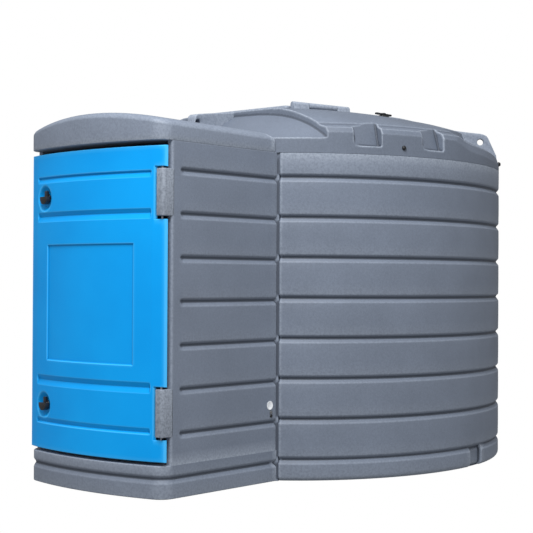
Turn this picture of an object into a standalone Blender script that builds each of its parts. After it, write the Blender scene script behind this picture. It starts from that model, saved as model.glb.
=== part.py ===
# Vertical storage tank: an oval ribbed plastic tank with an equipment cabinet on its front.
# Metres, +Z up. The cabinet door faces -Y. The origin is on the floor, at the middle of the plan box.

import math

import bmesh
import bpy
from mathutils import Matrix, Vector

# Clearance between pieces that touch
GAP = 0.0003

# Tank body: an oval wall with V grooves round it
TANK_HALF_WIDTH = 0.9196
TANK_HALF_LENGTH = 1.1165
TANK_CENTRE_Y = 0.3435
SEAM_Z = 1.600
WALL_THICKNESS = 0.030
WALL_STEP_DEG = 5.0
FRONT_WALL_SETBACK = 0.010
TOP_GROOVE_Z = 1.482
GROOVE_PITCH = 0.1966
GROOVE_COUNT = 8
GROOVE_DEPTH = 0.0166
GROOVE_ABOVE = 0.015
GROOVE_BELOW = 0.022
BASE_CHAMFER = 0.027
SEAM_CHAMFER = 0.003
FLOOR_THICKNESS = 0.020
FLOOR_EDGE_GAP = 0.0016

# Recess in the lowest rib, on each long side
NOTCH_Y = 0.497
NOTCH_WIDTH = 0.130
NOTCH_DEPTH = 0.022
NOTCH_HEIGHT = 0.107

# Roof: stacked ovals, each with half width, half length, height and the squareness of its front half
ROOF_SECTIONS = (
    (0.9166, 1.1135, SEAM_Z + GAP, 2.0),
    (0.9196, 1.1165, 1.603, 2.0),
    (0.9196, 1.1165, 1.705, 2.0),
    (0.9080, 1.1050, 1.730, 2.0),
    (0.8750, 1.0720, 1.745, 2.0),
    (0.8650, 1.0600, 1.748, 2.05),
    (0.8600, 1.0550, 1.757, 2.05),
    (0.7800, 1.0200, 1.783, 2.2),
    (0.6900, 0.9800, 1.810, 2.35),
    (0.6200, 0.9400, 1.830, 2.5),
    (0.5500, 0.9000, 1.845, 2.6),
    (0.5000, 0.8600, 1.850, 2.6),
)
ROOF_HOLLOW = (
    (0.85, 1.03, 1.59),
    (0.85, 1.03, 1.63),
    (0.62, 0.70, 1.775),
    (0.30, 0.40, 1.80),
)
ROOF_SIDES = 72
PLATEAU_Z = 1.850

# Front of the roof, cut back to an upright step with a scooped shelf in front of it
STEP_Y = -0.4506
STEP_HALF_WIDTH = 0.6465
SHELF_RIM_Z = 1.673
SHELF_RISE = 0.150
SHELF_SIDE_POWER = 3.4
SHELF_FALL_POWER = 1.25
SHELF_CUT_HALF_WIDTH = 0.70
SHELF_CUT_FRONT_Y = -0.82
SHELF_CUT_COLUMNS = 28
SHELF_CUT_ROWS = 8
ROOF_CUT_TOP_Z = 1.95

# Strap recesses in the roof's rim: near end and far end on the rim, and the far end's depth
RECESS_LOW_Z = 1.641
RECESS_TOP_Z = 1.80
RECESS_NEAR_STEP = 0.002
RECESS_CUT_REACH = 0.08
RECESSES = (
    ((0.726, -0.3406), (0.798, -0.2106), 0.050),
    ((0.882, 0.0264), (0.909, 0.1764), 0.040),
)

# Lifting lugs
LUG_HOLE_REACH = 0.1
FRONT_LUG_HOLE_RADIUS = 0.016
FRONT_LUG_ROUNDING = 0.006
FRONT_LUG_WIDTH = 0.055
FRONT_LUG_HOLE_Y = -0.716
FRONT_LUG_HOLE_Z = 1.770
FRONT_LUG_OUTLINE = (
    (-0.742, 1.640), (-0.742, 1.795), (-0.734, 1.808), (-0.706, 1.815),
    (-0.633, 1.825), (-0.520, 1.839), (-0.440, 1.8495), (-0.440, 1.640),
)
FRONT_LUG_QUARTERS = (("top", (0, 1)), ("base", (0, -1)), ("nose", (-1, 0)), ("tail", (1, 0)))
QUARTER_REACH = 0.6
REAR_LUG_ANGLE = math.radians(31.0)
REAR_LUG_WIDTH = 0.028
REAR_LUG_ROUNDING = 0.004
REAR_LUG_HOLE_INSET = 0.102
REAR_LUG_HOLE_Z = 1.756
REAR_LUG_HOLE_RADIUS = 0.017
REAR_LUG_OUTLINE = (
    (0.006, 1.640), (0.013, 1.680), (0.046, 1.753), (0.063, 1.787), (0.080, 1.798),
    (0.102, 1.804), (0.158, 1.810), (0.214, 1.817), (0.275, 1.826), (0.310, 1.829), (0.310, 1.640),
)

# Hollow in the roof's shoulder on both sides of each rear lug. Angles run round the oval in degrees.
# The floor climbs inward from the rim and forward from the lug, and both of its ends fade out.
HOLLOW_START_DEG = -14.0
HOLLOW_END_DEG = 56.0
HOLLOW_FULL_DEG = (6.0, 38.0)
HOLLOW_REACH = (-0.050, 0.260)
HOLLOW_RIM_Z = 1.660
HOLLOW_SLOPE = 0.48
HOLLOW_CLIMB_PER_DEG = 0.0013
HOLLOW_FADE_RISE = 0.080
HOLLOW_BACK_START = 0.175
HOLLOW_BACK_END = 0.235
HOLLOW_BACK_RISE = 0.100
HOLLOW_ROWS = 18
HOLLOW_COLUMNS = 12

# Cabinet
CABINET_HALF_WIDTH = 0.4625
CABINET_FRONT_Y = -1.4448
CABINET_BOW = 0.0663
CABINET_CORNER_RADIUS = 0.078
CABINET_WALL = 0.030
CABINET_MOUTH_Y = -1.339
CABINET_TOP_GROOVE_Z = 1.472
CABINET_GROOVE_PITCH = 0.1972
CABINET_GROOVE_DEPTH = 0.013
CABINET_MOUTH_CHAMFER = 0.010
GROOVE_START_Y = -1.290
GROOVE_RUN_IN = 0.028
CREASE_CHAMFER = 0.007
CREASE_WIDTH = 0.013
SILL_Z = 0.150
BASE_EDGE_CHAMFER = 0.004

# Cabinet lid
LID_OVERHANG = 0.0152
LID_GAP_TO_ROOF = 0.010
LID_CROWN_Z = 1.745
LID_CROWN_FALL = 0.050
LID_BACK_SLOPE = 0.012
LID_BACK_SLOPE_START_Y = -1.4
LID_EDGE_SIDE_Z = 1.656
# The rounding of the lid's upper rim: how far in and how far below the crown
LID_ROUNDING = ((0.004, 0.020), (0.013, 0.009), (0.026, 0.003), (0.045, 0.0))
LID_MIDDLE_Y = -1.08
LID_RING_SHARES = (0.75, 0.5, 0.25, 0.05)

# Door
DOOR_BOTTOM_Z = 0.166
DOOR_TOP_Z = 1.577
DOOR_FACE_HALF_WIDTH = 0.395
DOOR_GROOVE_HALF_WIDTH = 0.381
DOOR_EDGE_HALF_WIDTH = 0.457
DOOR_EDGE_Y = -1.3756
DOOR_THICKNESS = 0.034
DOOR_FLANGE_THICKNESS = 0.016
DOOR_CORE_HALF_WIDTH = 0.380
PANEL_HALF_WIDTH = 0.298
PANEL_STEP = 0.008
PANEL_DEPTH = 0.007
# Each groove: lower edge, deepest line, upper edge, depth
DOOR_GROOVES = (
    (0.287, 0.297, 0.317, 0.010),
    (0.470, 0.497, 0.520, 0.012),
    (1.250, 1.278, 1.298, 0.012),
    (1.436, 1.460, 1.468, 0.010),
)
PANEL_LOW_Z = 0.590
PANEL_HIGH_Z = 1.143
DOOR_EDGE_CHAMFER = 0.004

# Door hinges
HINGE_X = 0.437
HINGE_Y = -1.374
HINGE_FRONT_REACH = 0.0205
HINGE_LEFT_REACH = 0.0185
HINGE_LEFT_ROUNDING = 0.005
HINGE_RIGHT_ROUNDING = 0.016
HINGE_HEEL_X = 0.4335
HINGE_HEEL_Y = -1.362
HINGE_PIN_RADIUS = 0.0045
HINGE_PIN_REACH = 0.014
HINGE_BORE_FIT = 0.0004
HINGE_NOTCH_X = 0.407
HINGE_NOTCH_FRONT_Y = -1.45
HINGE_NOTCH_BACK_Y = -1.30
HINGE_NOTCHES = ((0.265, 0.500), (1.248, 1.483))
HINGE_BLOCKS = ((0.277, 0.491), (1.262, 1.474))

# Door locks
LOCK_X = -0.325
LOCK_HEIGHTS = (0.376, 1.364)
DISH_RADIUS = 0.065
DISH_FLOOR_RADIUS = 0.046
DISH_DEPTH = 0.022
SHAFT_RADIUS = 0.006
SHAFT_BORE_FIT = 0.0004
SHAFT_TAIL = 0.004
KNOB_RADIUS = 0.022
KNOB_TOP_DEPTH = 0.010
KNOB_WING_HALF_LENGTH = 0.033
KNOB_WING_TOP = 0.009
KNOB_WING_DROP = 0.028
KNOB_WING_BACK = 0.014
KNOB_WING_ROUNDING = 0.004
KNOB_PROUD = 0.010
STUB_HALF_WIDTH = 0.008
STUB_LOW = 0.004
STUB_HIGH = 0.034
STUB_TOP_DEPTH = 0.004
CAM_GAP = 0.0005
CAM_LENGTH = 0.058
CAM_WIDTH = 0.018
CAM_THICKNESS = 0.005

# Inspection lid on the roof
HATCH_FRONT_Y = -0.372
HATCH_REAR_Y = 1.030
HATCH_WIDEST_Y = 0.42
HATCH_HALF_WIDTH = 0.461
HATCH_TAPER = 0.207
HATCH_TAPER_POWER = 4 / 3
HATCH_CORNER = 0.020
HATCH_END_HALF_WIDTH = 0.16
HATCH_END_BOW = 0.002
HATCH_CORNER_CUT = 0.006
HATCH_RIM_TOP_Z = 1.870
HATCH_RIM_WIDTH = 0.090
HATCH_RIM_CHAMFER = 0.005
HATCH_CROWN_Z = 1.877
HATCH_CROWN_INSET = 0.140

# Inspection lid hinge
HATCH_HINGE_MIDDLE = Vector((0.378, -0.170, 1.874))
HATCH_HINGE_DIRECTION = Vector((0.2251, 0.9743, 0.0)).normalized()
HATCH_KNUCKLE_RADIUS = 0.016
HATCH_PIN_RADIUS = 0.005
HATCH_PIN_HALF_LENGTH = 0.180
# Start and end of each knuckle along the axis, from the hinge's middle
HATCH_KNUCKLES = ((-0.186, -0.0865), (-0.0815, 0.0985), (0.1035, 0.186))
HATCH_LEAF_REACH = 0.075
HATCH_LEAF_THICKNESS = 0.008
HATCH_HINGE_FOOT = 0.004
HATCH_BORE_FIT = 0.0004

# Rubber latch beside the inspection lid
LATCH_X = 0.522
LATCH_Y = 0.186
LATCH_BAR_LENGTH = 0.138
LATCH_BAR_HALF_WIDTH = 0.010
LATCH_BAR_LOW_Z = 1.854
LATCH_BAR_TOP_Z = 1.868
LATCH_BAR_ROUNDING = 0.004
LATCH_FOOT_HALF_WIDTH = 0.016
LATCH_FOOT_HALF_LENGTH = 0.030
LATCH_FOOT_LOW_Z = 1.80
LATCH_FOOT_TOP_Z = 1.857

COLORS = {
    "grey_polyethylene": ((0.150, 0.172, 0.205, 1.0), 0.62, 0.0),
    "blue_door": ((0.010, 0.300, 0.790, 1.0), 0.28, 0.0),
    "black_rubber": ((0.012, 0.012, 0.014, 1.0), 0.55, 0.0),
    "black_plastic": ((0.015, 0.015, 0.018, 1.0), 0.38, 0.0),
    "zinc_steel": ((0.480, 0.490, 0.500, 1.0), 0.35, 1.0),
}


def clear_scene():
    for item in list(bpy.data.objects):
        bpy.data.objects.remove(item, do_unlink=True)


def make_collection(name):
    collection = bpy.data.collections.new(name)
    bpy.context.scene.collection.children.link(collection)
    return collection


def material(name):
    found = bpy.data.materials.get(name)
    if found:
        return found
    color, roughness, metallic = COLORS[name]
    made = bpy.data.materials.new(name)
    made.use_nodes = True
    shader = made.node_tree.nodes["Principled BSDF"]
    shader.inputs["Base Color"].default_value = color
    shader.inputs["Roughness"].default_value = roughness
    shader.inputs["Metallic"].default_value = metallic
    made.diffuse_color = color
    return made


def finish(bm, name, material_name, matrix=None):
    bmesh.ops.recalc_face_normals(bm, faces=bm.faces)
    mesh = bpy.data.meshes.new(name)
    bm.to_mesh(mesh)
    bm.free()
    mesh.materials.append(material(material_name))
    mesh.shade_smooth()
    mesh.set_sharp_from_angle(angle=math.radians(30))
    made = bpy.data.objects.new(name, mesh)
    partCollection.objects.link(made)
    if matrix is not None:
        made.matrix_world = matrix
    return made


def as_cutter(item):
    partCollection.objects.unlink(item)
    cutterCollection.objects.link(item)
    item.hide_render = True
    item.display_type = "WIRE"
    return item


def combine(target, other, operation="DIFFERENCE"):
    modifier = target.modifiers.new(other.name, "BOOLEAN")
    modifier.operation = operation
    modifier.solver = "EXACT"
    modifier.object = other


def soften(target, width, segments=1):
    modifier = target.modifiers.new("edge_radius", "BEVEL")
    modifier.width = width
    modifier.segments = segments
    modifier.limit_method = "ANGLE"
    modifier.angle_limit = math.radians(40)


# A closed skin over a stack of sections with equal numbers of points
def loft(name, sections, material_name):
    bm = bmesh.new()
    loops = [[bm.verts.new(point) for point in section] for section in sections]
    for lower, upper in zip(loops, loops[1:]):
        for index in range(len(lower)):
            following = (index + 1) % len(lower)
            bm.faces.new((lower[index], lower[following], upper[following], upper[index]))
    bm.faces.new(loops[0])
    bm.faces.new(loops[-1])
    bmesh.ops.triangulate(bm, faces=bm.faces)
    return finish(bm, name, material_name)


# A flat outline in local XY, raised along local Z
def prism(name, outline, low, high, material_name, matrix=None):
    bm = bmesh.new()
    face = bm.faces.new([bm.verts.new((x, y, low)) for x, y in outline])
    raised = bmesh.ops.extrude_face_region(bm, geom=[face])
    top = [item for item in raised["geom"] if isinstance(item, bmesh.types.BMVert)]
    bmesh.ops.translate(bm, verts=top, vec=(0, 0, high - low))
    return finish(bm, name, material_name, matrix)


# A cylinder or frustum along local Z
def turned(name, low_radius, high_radius, low, high, sides, material_name, matrix=None):
    bm = bmesh.new()
    bmesh.ops.create_cone(
        bm, cap_ends=True, segments=sides, radius1=low_radius, radius2=high_radius, depth=high - low,
    )
    bmesh.ops.translate(bm, verts=bm.verts, vec=(0, 0, (low + high) / 2))
    return finish(bm, name, material_name, matrix)


def block(name, low, high, material_name, matrix=None):
    outline = ((low[0], low[1]), (high[0], low[1]), (high[0], high[1]), (low[0], high[1]))
    return prism(name, outline, low[2], high[2], material_name, matrix)


def mirrored(outline):
    return [(-x, y) for x, y in reversed(outline)]


def frame_matrix(origin, axis_x, axis_y):
    x = Vector(axis_x).normalized()
    y = Vector(axis_y).normalized()
    z = x.cross(y)
    matrix = Matrix((x, y, z)).transposed().to_4x4()
    matrix.translation = origin
    return matrix


def oval_y(x, grow):
    half_width = TANK_HALF_WIDTH + grow
    half_length = TANK_HALF_LENGTH + grow
    return TANK_CENTRE_Y - half_length * math.sqrt(1 - (x / half_width) ** 2)


def oval_ring(half_width, half_length, z, front_power, grow=0.0):
    ring = []
    for index in range(ROOF_SIDES):
        angle = math.tau * index / ROOF_SIDES
        across = math.cos(angle)
        along = math.sin(angle)
        power = 2 / front_power if along < 0 else 1.0
        x = (half_width + grow) * math.copysign(abs(across) ** power, across)
        y = (half_length + grow) * math.copysign(abs(along) ** power, along)
        ring.append((x, TANK_CENTRE_Y + y, z))
    return ring


# Angle on the oval where its ribbed wall starts, just outside the cabinet's side
def crease_angle():
    return math.acos((CABINET_HALF_WIDTH + CREASE_WIDTH) / TANK_HALF_WIDTH)


def wall_profile(grooved):
    inner = 1 - WALL_THICKNESS
    if not grooved:
        outer = 1 - FRONT_WALL_SETBACK
        return [(inner, 0), (outer, 0), (outer, SEAM_Z), (inner, SEAM_Z)]
    profile = [(inner, 0), (1 - BASE_CHAMFER, 0), (1, BASE_CHAMFER)]
    for index in reversed(range(GROOVE_COUNT)):
        z = TOP_GROOVE_Z - index * GROOVE_PITCH
        profile += [(1, z - GROOVE_BELOW), (1 - GROOVE_DEPTH, z), (1, z + GROOVE_ABOVE)]
    profile += [(1, SEAM_Z - SEAM_CHAMFER), (1 - SEAM_CHAMFER, SEAM_Z), (inner, SEAM_Z)]
    return profile


# One stretch of the oval wall: the profile spun round a circle, then stretched into the oval
def wall_segment(name, grooved, start, end):
    bm = bmesh.new()
    face = bm.faces.new([bm.verts.new((radius, 0, z)) for radius, z in wall_profile(grooved)])
    bmesh.ops.rotate(bm, verts=bm.verts, cent=(0, 0, 0), matrix=Matrix.Rotation(start, 3, "Z"))
    steps = max(2, round(math.degrees(end - start) / WALL_STEP_DEG))
    geometry = [face] + list(face.edges) + list(face.verts)
    bmesh.ops.spin(bm, geom=geometry, axis=(0, 0, 1), cent=(0, 0, 0), angle=end - start, steps=steps)
    bmesh.ops.scale(bm, verts=bm.verts, vec=(TANK_HALF_WIDTH, TANK_HALF_LENGTH, 1))
    bmesh.ops.translate(bm, verts=bm.verts, vec=(0, TANK_CENTRE_Y, 0))
    return finish(bm, name, "grey_polyethylene")


def tank_body():
    crease = crease_angle()
    names = (
        "tank_wall_right_front", "tank_wall_right", "tank_wall_right_rear",
        "tank_wall_left_rear", "tank_wall_left", "tank_wall_left_front",
    )
    start = -crease
    sweep = math.pi + 2 * crease
    step = sweep / len(names)
    walls = {}
    for index, name in enumerate(names):
        low = start + index * step + GAP / 2
        high = start + (index + 1) * step - GAP / 2
        walls[name] = wall_segment(name, True, low, high)
    wall_segment("tank_wall_front", False, math.pi + crease + GAP / 2, math.tau - crease - GAP / 2)
    floor = turned("tank_floor", 1, 1, 0, FLOOR_THICKNESS, 72, "grey_polyethylene")
    fit = 1 - WALL_THICKNESS - FLOOR_EDGE_GAP
    for vertex in floor.data.vertices:
        vertex.co.x *= TANK_HALF_WIDTH * fit
        vertex.co.y = vertex.co.y * TANK_HALF_LENGTH * fit + TANK_CENTRE_Y
    for side, name in ((1, "tank_wall_right"), (-1, "tank_wall_left")):
        surface_x = TANK_HALF_WIDTH * math.sqrt(1 - ((NOTCH_Y - TANK_CENTRE_Y) / TANK_HALF_LENGTH) ** 2)
        low = (side * (surface_x - NOTCH_DEPTH), NOTCH_Y - NOTCH_WIDTH / 2, -0.02)
        high = (side * (surface_x + 0.1), NOTCH_Y + NOTCH_WIDTH / 2, NOTCH_HEIGHT)
        notch = block(f"notch_cut_{side}", low, high, "grey_polyethylene")
        combine(walls[name], as_cutter(notch))


def shelf_z(x, y):
    across = min(abs(x) / STEP_HALF_WIDTH, 1.0)
    foot_rise = SHELF_RISE * (1 - across ** SHELF_SIDE_POWER)
    depth = max(STEP_Y - oval_y(min(abs(x), STEP_HALF_WIDTH), 0), 0.01)
    forward = min(max((STEP_Y - y) / depth, 0.0), 1.0)
    return SHELF_RIM_Z + foot_rise * (1 - forward) ** SHELF_FALL_POWER


# Cutter for the front of the roof: everything above the scooped shelf and ahead of the step
def front_cutter(name, grow):
    bm = bmesh.new()
    bmesh.ops.create_grid(bm, x_segments=SHELF_CUT_COLUMNS, y_segments=SHELF_CUT_ROWS, size=1)
    depth = STEP_Y - grow - SHELF_CUT_FRONT_Y
    for vertex in bm.verts:
        x = vertex.co.x * SHELF_CUT_HALF_WIDTH
        y = SHELF_CUT_FRONT_Y + (vertex.co.y + 1) / 2 * depth
        vertex.co = (x, y, shelf_z(x, y) + grow)
    return raised_cutter(bm, name)


# A floor raised to above the roof, as a shape to cut with
def raised_cutter(bm, name):
    bmesh.ops.triangulate(bm, faces=bm.faces)
    raised = bmesh.ops.extrude_face_region(bm, geom=bm.faces[:])
    for item in raised["geom"]:
        if isinstance(item, bmesh.types.BMVert):
            item.co.z = ROOF_CUT_TOP_Z
    return as_cutter(finish(bm, name, "grey_polyethylene"))


def smooth_step(low, high, value):
    share = min(max((value - low) / (high - low), 0.0), 1.0)
    return share * share * (3 - 2 * share)


def hollow_z(degrees, inset):
    full_start, full_end = HOLLOW_FULL_DEG
    present = smooth_step(HOLLOW_START_DEG, full_start, degrees)
    present *= 1 - smooth_step(full_end, HOLLOW_END_DEG, degrees)
    climb = HOLLOW_CLIMB_PER_DEG * max(0.0, math.degrees(REAR_LUG_ANGLE) - degrees)
    back = HOLLOW_BACK_RISE * smooth_step(HOLLOW_BACK_START, HOLLOW_BACK_END, inset)
    return HOLLOW_RIM_Z + HOLLOW_SLOPE * inset + climb + back + HOLLOW_FADE_RISE * (1 - present)


# Cutter for the hollow beside a rear lug
def hollow_cutter(name, side, grow):
    near, far = HOLLOW_REACH
    bm = bmesh.new()
    bmesh.ops.create_grid(bm, x_segments=HOLLOW_COLUMNS, y_segments=HOLLOW_ROWS, size=1)
    for vertex in bm.verts:
        inset = near + (vertex.co.x + 1) / 2 * (far - near)
        degrees = HOLLOW_START_DEG + (vertex.co.y + 1) / 2 * (HOLLOW_END_DEG - HOLLOW_START_DEG)
        across = TANK_HALF_WIDTH * math.cos(math.radians(degrees))
        along = TANK_HALF_LENGTH * math.sin(math.radians(degrees))
        share = 1 - inset / math.hypot(across, along)
        z = hollow_z(degrees, inset + grow) + grow
        vertex.co = (side * across * share, TANK_CENTRE_Y + along * share, z)
    return raised_cutter(bm, name)


def rear_lug_matrix(side):
    angle = REAR_LUG_ANGLE
    rim = Vector((TANK_HALF_WIDTH * math.cos(angle), TANK_HALF_LENGTH * math.sin(angle), 0))
    inward = -rim.normalized()
    rim.x *= side
    inward.x *= side
    rim.y += TANK_CENTRE_Y
    return frame_matrix(rim, inward, (0, 0, 1))


def roof_shape(name, grow):
    sections = [oval_ring(a, b, z + grow, power, grow) for a, b, z, power in ROOF_SECTIONS]
    if grow:
        sections[0] = [(x, y, SEAM_Z - 0.02) for x, y, z in sections[0]]
    roof = loft(name, sections, "grey_polyethylene")
    combine(roof, front_cutter(name + "_front_cut", grow))
    for side in (1, -1):
        combine(roof, hollow_cutter(f"{name}_hollow_{side}", side, grow))
    return roof


def rim_normal(x, y):
    return Vector((x / TANK_HALF_WIDTH ** 2, (y - TANK_CENTRE_Y) / TANK_HALF_LENGTH ** 2)).normalized()


def tank_roof():
    roof = roof_shape("tank_roof", 0.0)
    hollow = loft("roof_hollow", [oval_ring(a, b, z, 2.0) for a, b, z in ROOF_HOLLOW], "grey_polyethylene")
    combine(roof, as_cutter(hollow))
    for index, (near, far, depth) in enumerate(RECESSES):
        near_point = Vector(near)
        far_point = Vector(far)
        near_out = rim_normal(*near)
        far_out = rim_normal(*far)
        outline = [
            near_point + near_out * RECESS_NEAR_STEP, near_point + near_out * RECESS_CUT_REACH,
            far_point + far_out * RECESS_CUT_REACH, far_point - far_out * depth,
        ]
        outline = [(point.x, point.y) for point in outline]
        for side, shape in (("right", outline), ("left", mirrored(outline))):
            recess = prism(f"recess_{side}_{index}", shape, RECESS_LOW_Z, RECESS_TOP_Z, "grey_polyethylene")
            combine(roof, as_cutter(recess))
    return roof


# A wedge with its edge along the front lug's hole, opening towards one side
def lug_wedge(name, direction, matrix):
    out = Vector(direction)
    across = Vector((out.y, -out.x))
    edge = Vector((FRONT_LUG_HOLE_Y, FRONT_LUG_HOLE_Z)) + out * (GAP / math.sqrt(2))
    outline = [edge, edge + (out + across) * QUARTER_REACH, edge + (out - across) * QUARTER_REACH]
    outline = [(point.x, point.y) for point in outline]
    return as_cutter(prism(name, outline, -FRONT_LUG_WIDTH, FRONT_LUG_WIDTH, "grey_polyethylene", matrix))


# The front lug is four solids that meet at its hole, so that their collision leaves the hole open
def front_lifting_lug(clearance):
    half = FRONT_LUG_WIDTH / 2
    upright = frame_matrix((0, 0, 0), (0, 1, 0), (0, 0, 1))
    hole_at = Matrix.Translation((0, FRONT_LUG_HOLE_Y, FRONT_LUG_HOLE_Z)) @ upright
    hole = as_cutter(turned("front_lug_hole", FRONT_LUG_HOLE_RADIUS, FRONT_LUG_HOLE_RADIUS,
                            -LUG_HOLE_REACH, LUG_HOLE_REACH, 24, "grey_polyethylene", hole_at))
    for side, direction in FRONT_LUG_QUARTERS:
        name = "lifting_lug_front_" + side
        quarter = prism(name, FRONT_LUG_OUTLINE, -half, half, "grey_polyethylene", upright)
        soften(quarter, FRONT_LUG_ROUNDING)
        combine(quarter, hole)
        combine(quarter, clearance)
        combine(quarter, lug_wedge(name + "_wedge", direction, upright), "INTERSECT")


def lifting_lugs():
    clearance = as_cutter(roof_shape("roof_clearance", GAP))
    front_lifting_lug(clearance)
    half = REAR_LUG_WIDTH / 2
    for side, name in ((1, "lifting_lug_right"), (-1, "lifting_lug_left")):
        place = rear_lug_matrix(side)
        lug = prism(name, REAR_LUG_OUTLINE, -half, half, "grey_polyethylene", place)
        soften(lug, REAR_LUG_ROUNDING)
        hole_at = place @ Matrix.Translation((REAR_LUG_HOLE_INSET, REAR_LUG_HOLE_Z, 0))
        hole = turned(name + "_hole", REAR_LUG_HOLE_RADIUS, REAR_LUG_HOLE_RADIUS,
                      -LUG_HOLE_REACH, LUG_HOLE_REACH, 24, "grey_polyethylene", hole_at)
        combine(lug, as_cutter(hole))
        combine(lug, clearance)
    return clearance


# Plan outline shared by the cabinet's base and lid: bowed front, round corners, back along the oval
def cabinet_outline(inset, overhang, back_grow):
    half_width = CABINET_HALF_WIDTH - inset
    radius = CABINET_CORNER_RADIUS - inset
    front = CABINET_FRONT_Y - overhang + inset

    def bowed(x):
        return front + CABINET_BOW * (x / CABINET_HALF_WIDTH) ** 2

    bend = 0.24
    for _ in range(8):
        joint = half_width - radius + radius * math.sin(bend)
        bend = math.atan(2 * CABINET_BOW * joint / CABINET_HALF_WIDTH ** 2)
    half = [(joint * index / 8, bowed(joint * index / 8)) for index in range(9)]
    centre_y = bowed(joint) + radius * math.cos(bend)
    for index in range(1, 6):
        angle = bend + (math.pi / 2 - bend) * index / 5
        half.append((half_width - radius + radius * math.sin(angle), centre_y - radius * math.cos(angle)))
    for index in range(13):
        x = half_width * (1 - index / 12)
        half.append((x, oval_y(x, back_grow) - inset))
    return half + mirrored(half)[1:-1]


def cabinet_base():
    groove_z = CABINET_TOP_GROOVE_Z - (GROOVE_COUNT - 1) * CABINET_GROOVE_PITCH
    levels = (
        (0.0, BASE_EDGE_CHAMFER), (BASE_EDGE_CHAMFER, 0.0),
        (groove_z - GROOVE_BELOW, 0.0), (groove_z, CABINET_GROOVE_DEPTH), (groove_z + GROOVE_ABOVE, 0.0),
        (SILL_Z - BASE_EDGE_CHAMFER, 0.0), (SILL_Z, BASE_EDGE_CHAMFER),
    )
    back = GAP - FRONT_WALL_SETBACK * TANK_HALF_WIDTH
    sections = []
    for z, inset in levels:
        sections.append([(x, y, z) for x, y in cabinet_outline(inset, 0, back)])
    loft("cabinet_base", sections, "grey_polyethylene")


def cabinet_side(name, side):
    back = GAP - FRONT_WALL_SETBACK * TANK_HALF_WIDTH
    outer = CABINET_HALF_WIDTH
    inner = outer - CABINET_WALL
    levels = [(SILL_Z + GAP, 0.0, 0.0)]
    for index in reversed(range(GROOVE_COUNT - 1)):
        z = CABINET_TOP_GROOVE_Z - index * CABINET_GROOVE_PITCH
        levels += [(z - GROOVE_BELOW, 0.0, 0.0), (z, CABINET_GROOVE_DEPTH, 0.0), (z + GROOVE_ABOVE, 0.0, 0.0)]
    levels += [(SEAM_Z - SEAM_CHAMFER, 0.0, 0.0), (SEAM_Z, 0.0, SEAM_CHAMFER)]
    sections = []
    for z, depth, chamfer in levels:
        face = outer - chamfer
        grooved = face - depth
        tail = grooved - CREASE_CHAMFER
        outline = [
            (inner, oval_y(inner, back)),
            (inner, CABINET_MOUTH_Y),
            (face - CABINET_MOUTH_CHAMFER, CABINET_MOUTH_Y),
            (face, CABINET_MOUTH_Y + CABINET_MOUTH_CHAMFER),
            (face, GROOVE_START_Y),
            (grooved, GROOVE_START_Y + GROOVE_RUN_IN),
            (grooved, oval_y(grooved, back) - CREASE_CHAMFER),
            (tail, oval_y(tail, back)),
        ]
        if side < 0:
            outline = mirrored(outline)
        sections.append([(x, y, z) for x, y in outline])
    loft(name, sections, "grey_polyethylene")


def lid_crown(x, y):
    fall = LID_CROWN_FALL * (abs(x) / CABINET_HALF_WIDTH) ** 2
    return LID_CROWN_Z - fall - LID_BACK_SLOPE * max(0.0, y - LID_BACK_SLOPE_START_Y)


def cabinet_lid():
    back = LID_GAP_TO_ROOF
    sections = []
    for z, inset in ((SEAM_Z + GAP, 0.003), (SEAM_Z + 0.0035, 0.0), (LID_EDGE_SIDE_Z, 0.0)):
        sections.append([(x, y, z) for x, y in cabinet_outline(inset, LID_OVERHANG, back)])
    for inset, drop in LID_ROUNDING:
        ring = cabinet_outline(inset, LID_OVERHANG, back)
        sections.append([(x, y, lid_crown(x, y) - drop) for x, y in ring])
    last = cabinet_outline(LID_ROUNDING[-1][0], LID_OVERHANG, back)
    for share in LID_RING_SHARES:
        ring = [(x * share, LID_MIDDLE_Y + (y - LID_MIDDLE_Y) * share) for x, y in last]
        sections.append([(x, y, lid_crown(x, y)) for x, y in ring])
    loft("cabinet_lid", sections, "grey_polyethylene")


def door_front_y(x):
    if abs(x) <= DOOR_FACE_HALF_WIDTH:
        return CABINET_FRONT_Y + CABINET_BOW * (x / CABINET_HALF_WIDTH) ** 2
    start = CABINET_FRONT_Y + CABINET_BOW * (DOOR_FACE_HALF_WIDTH / CABINET_HALF_WIDTH) ** 2
    share = (abs(x) - DOOR_FACE_HALF_WIDTH) / (DOOR_EDGE_HALF_WIDTH - DOOR_FACE_HALF_WIDTH)
    return start + (DOOR_EDGE_Y - start) * share


def door_section(z, groove, panel, edge):
    panel_inner = PANEL_HALF_WIDTH - PANEL_STEP
    half = []
    for x in (0.0, 0.1, 0.2, panel_inner, PANEL_HALF_WIDTH, DOOR_GROOVE_HALF_WIDTH,
              DOOR_FACE_HALF_WIDTH, DOOR_EDGE_HALF_WIDTH):
        depth = edge
        if x <= DOOR_GROOVE_HALF_WIDTH:
            depth += groove
        if x <= panel_inner:
            depth += panel
        half.append((x, door_front_y(x) + depth))
    start_y = door_front_y(DOOR_FACE_HALF_WIDTH)
    run = Vector((DOOR_EDGE_HALF_WIDTH - DOOR_FACE_HALF_WIDTH, DOOR_EDGE_Y - start_y)).normalized()
    across = Vector((-run.y, run.x)) * DOOR_FLANGE_THICKNESS
    half.append((DOOR_EDGE_HALF_WIDTH + across.x, DOOR_EDGE_Y + across.y))
    half.append((DOOR_FACE_HALF_WIDTH + across.x, start_y + across.y))
    core_x = DOOR_CORE_HALF_WIDTH
    for x in (core_x, 0.3, 0.15, 0.0):
        half.append((x, door_front_y(x) + DOOR_THICKNESS))
    return [(x, y, z) for x, y in half + mirrored(half)[1:-1]]


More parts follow.
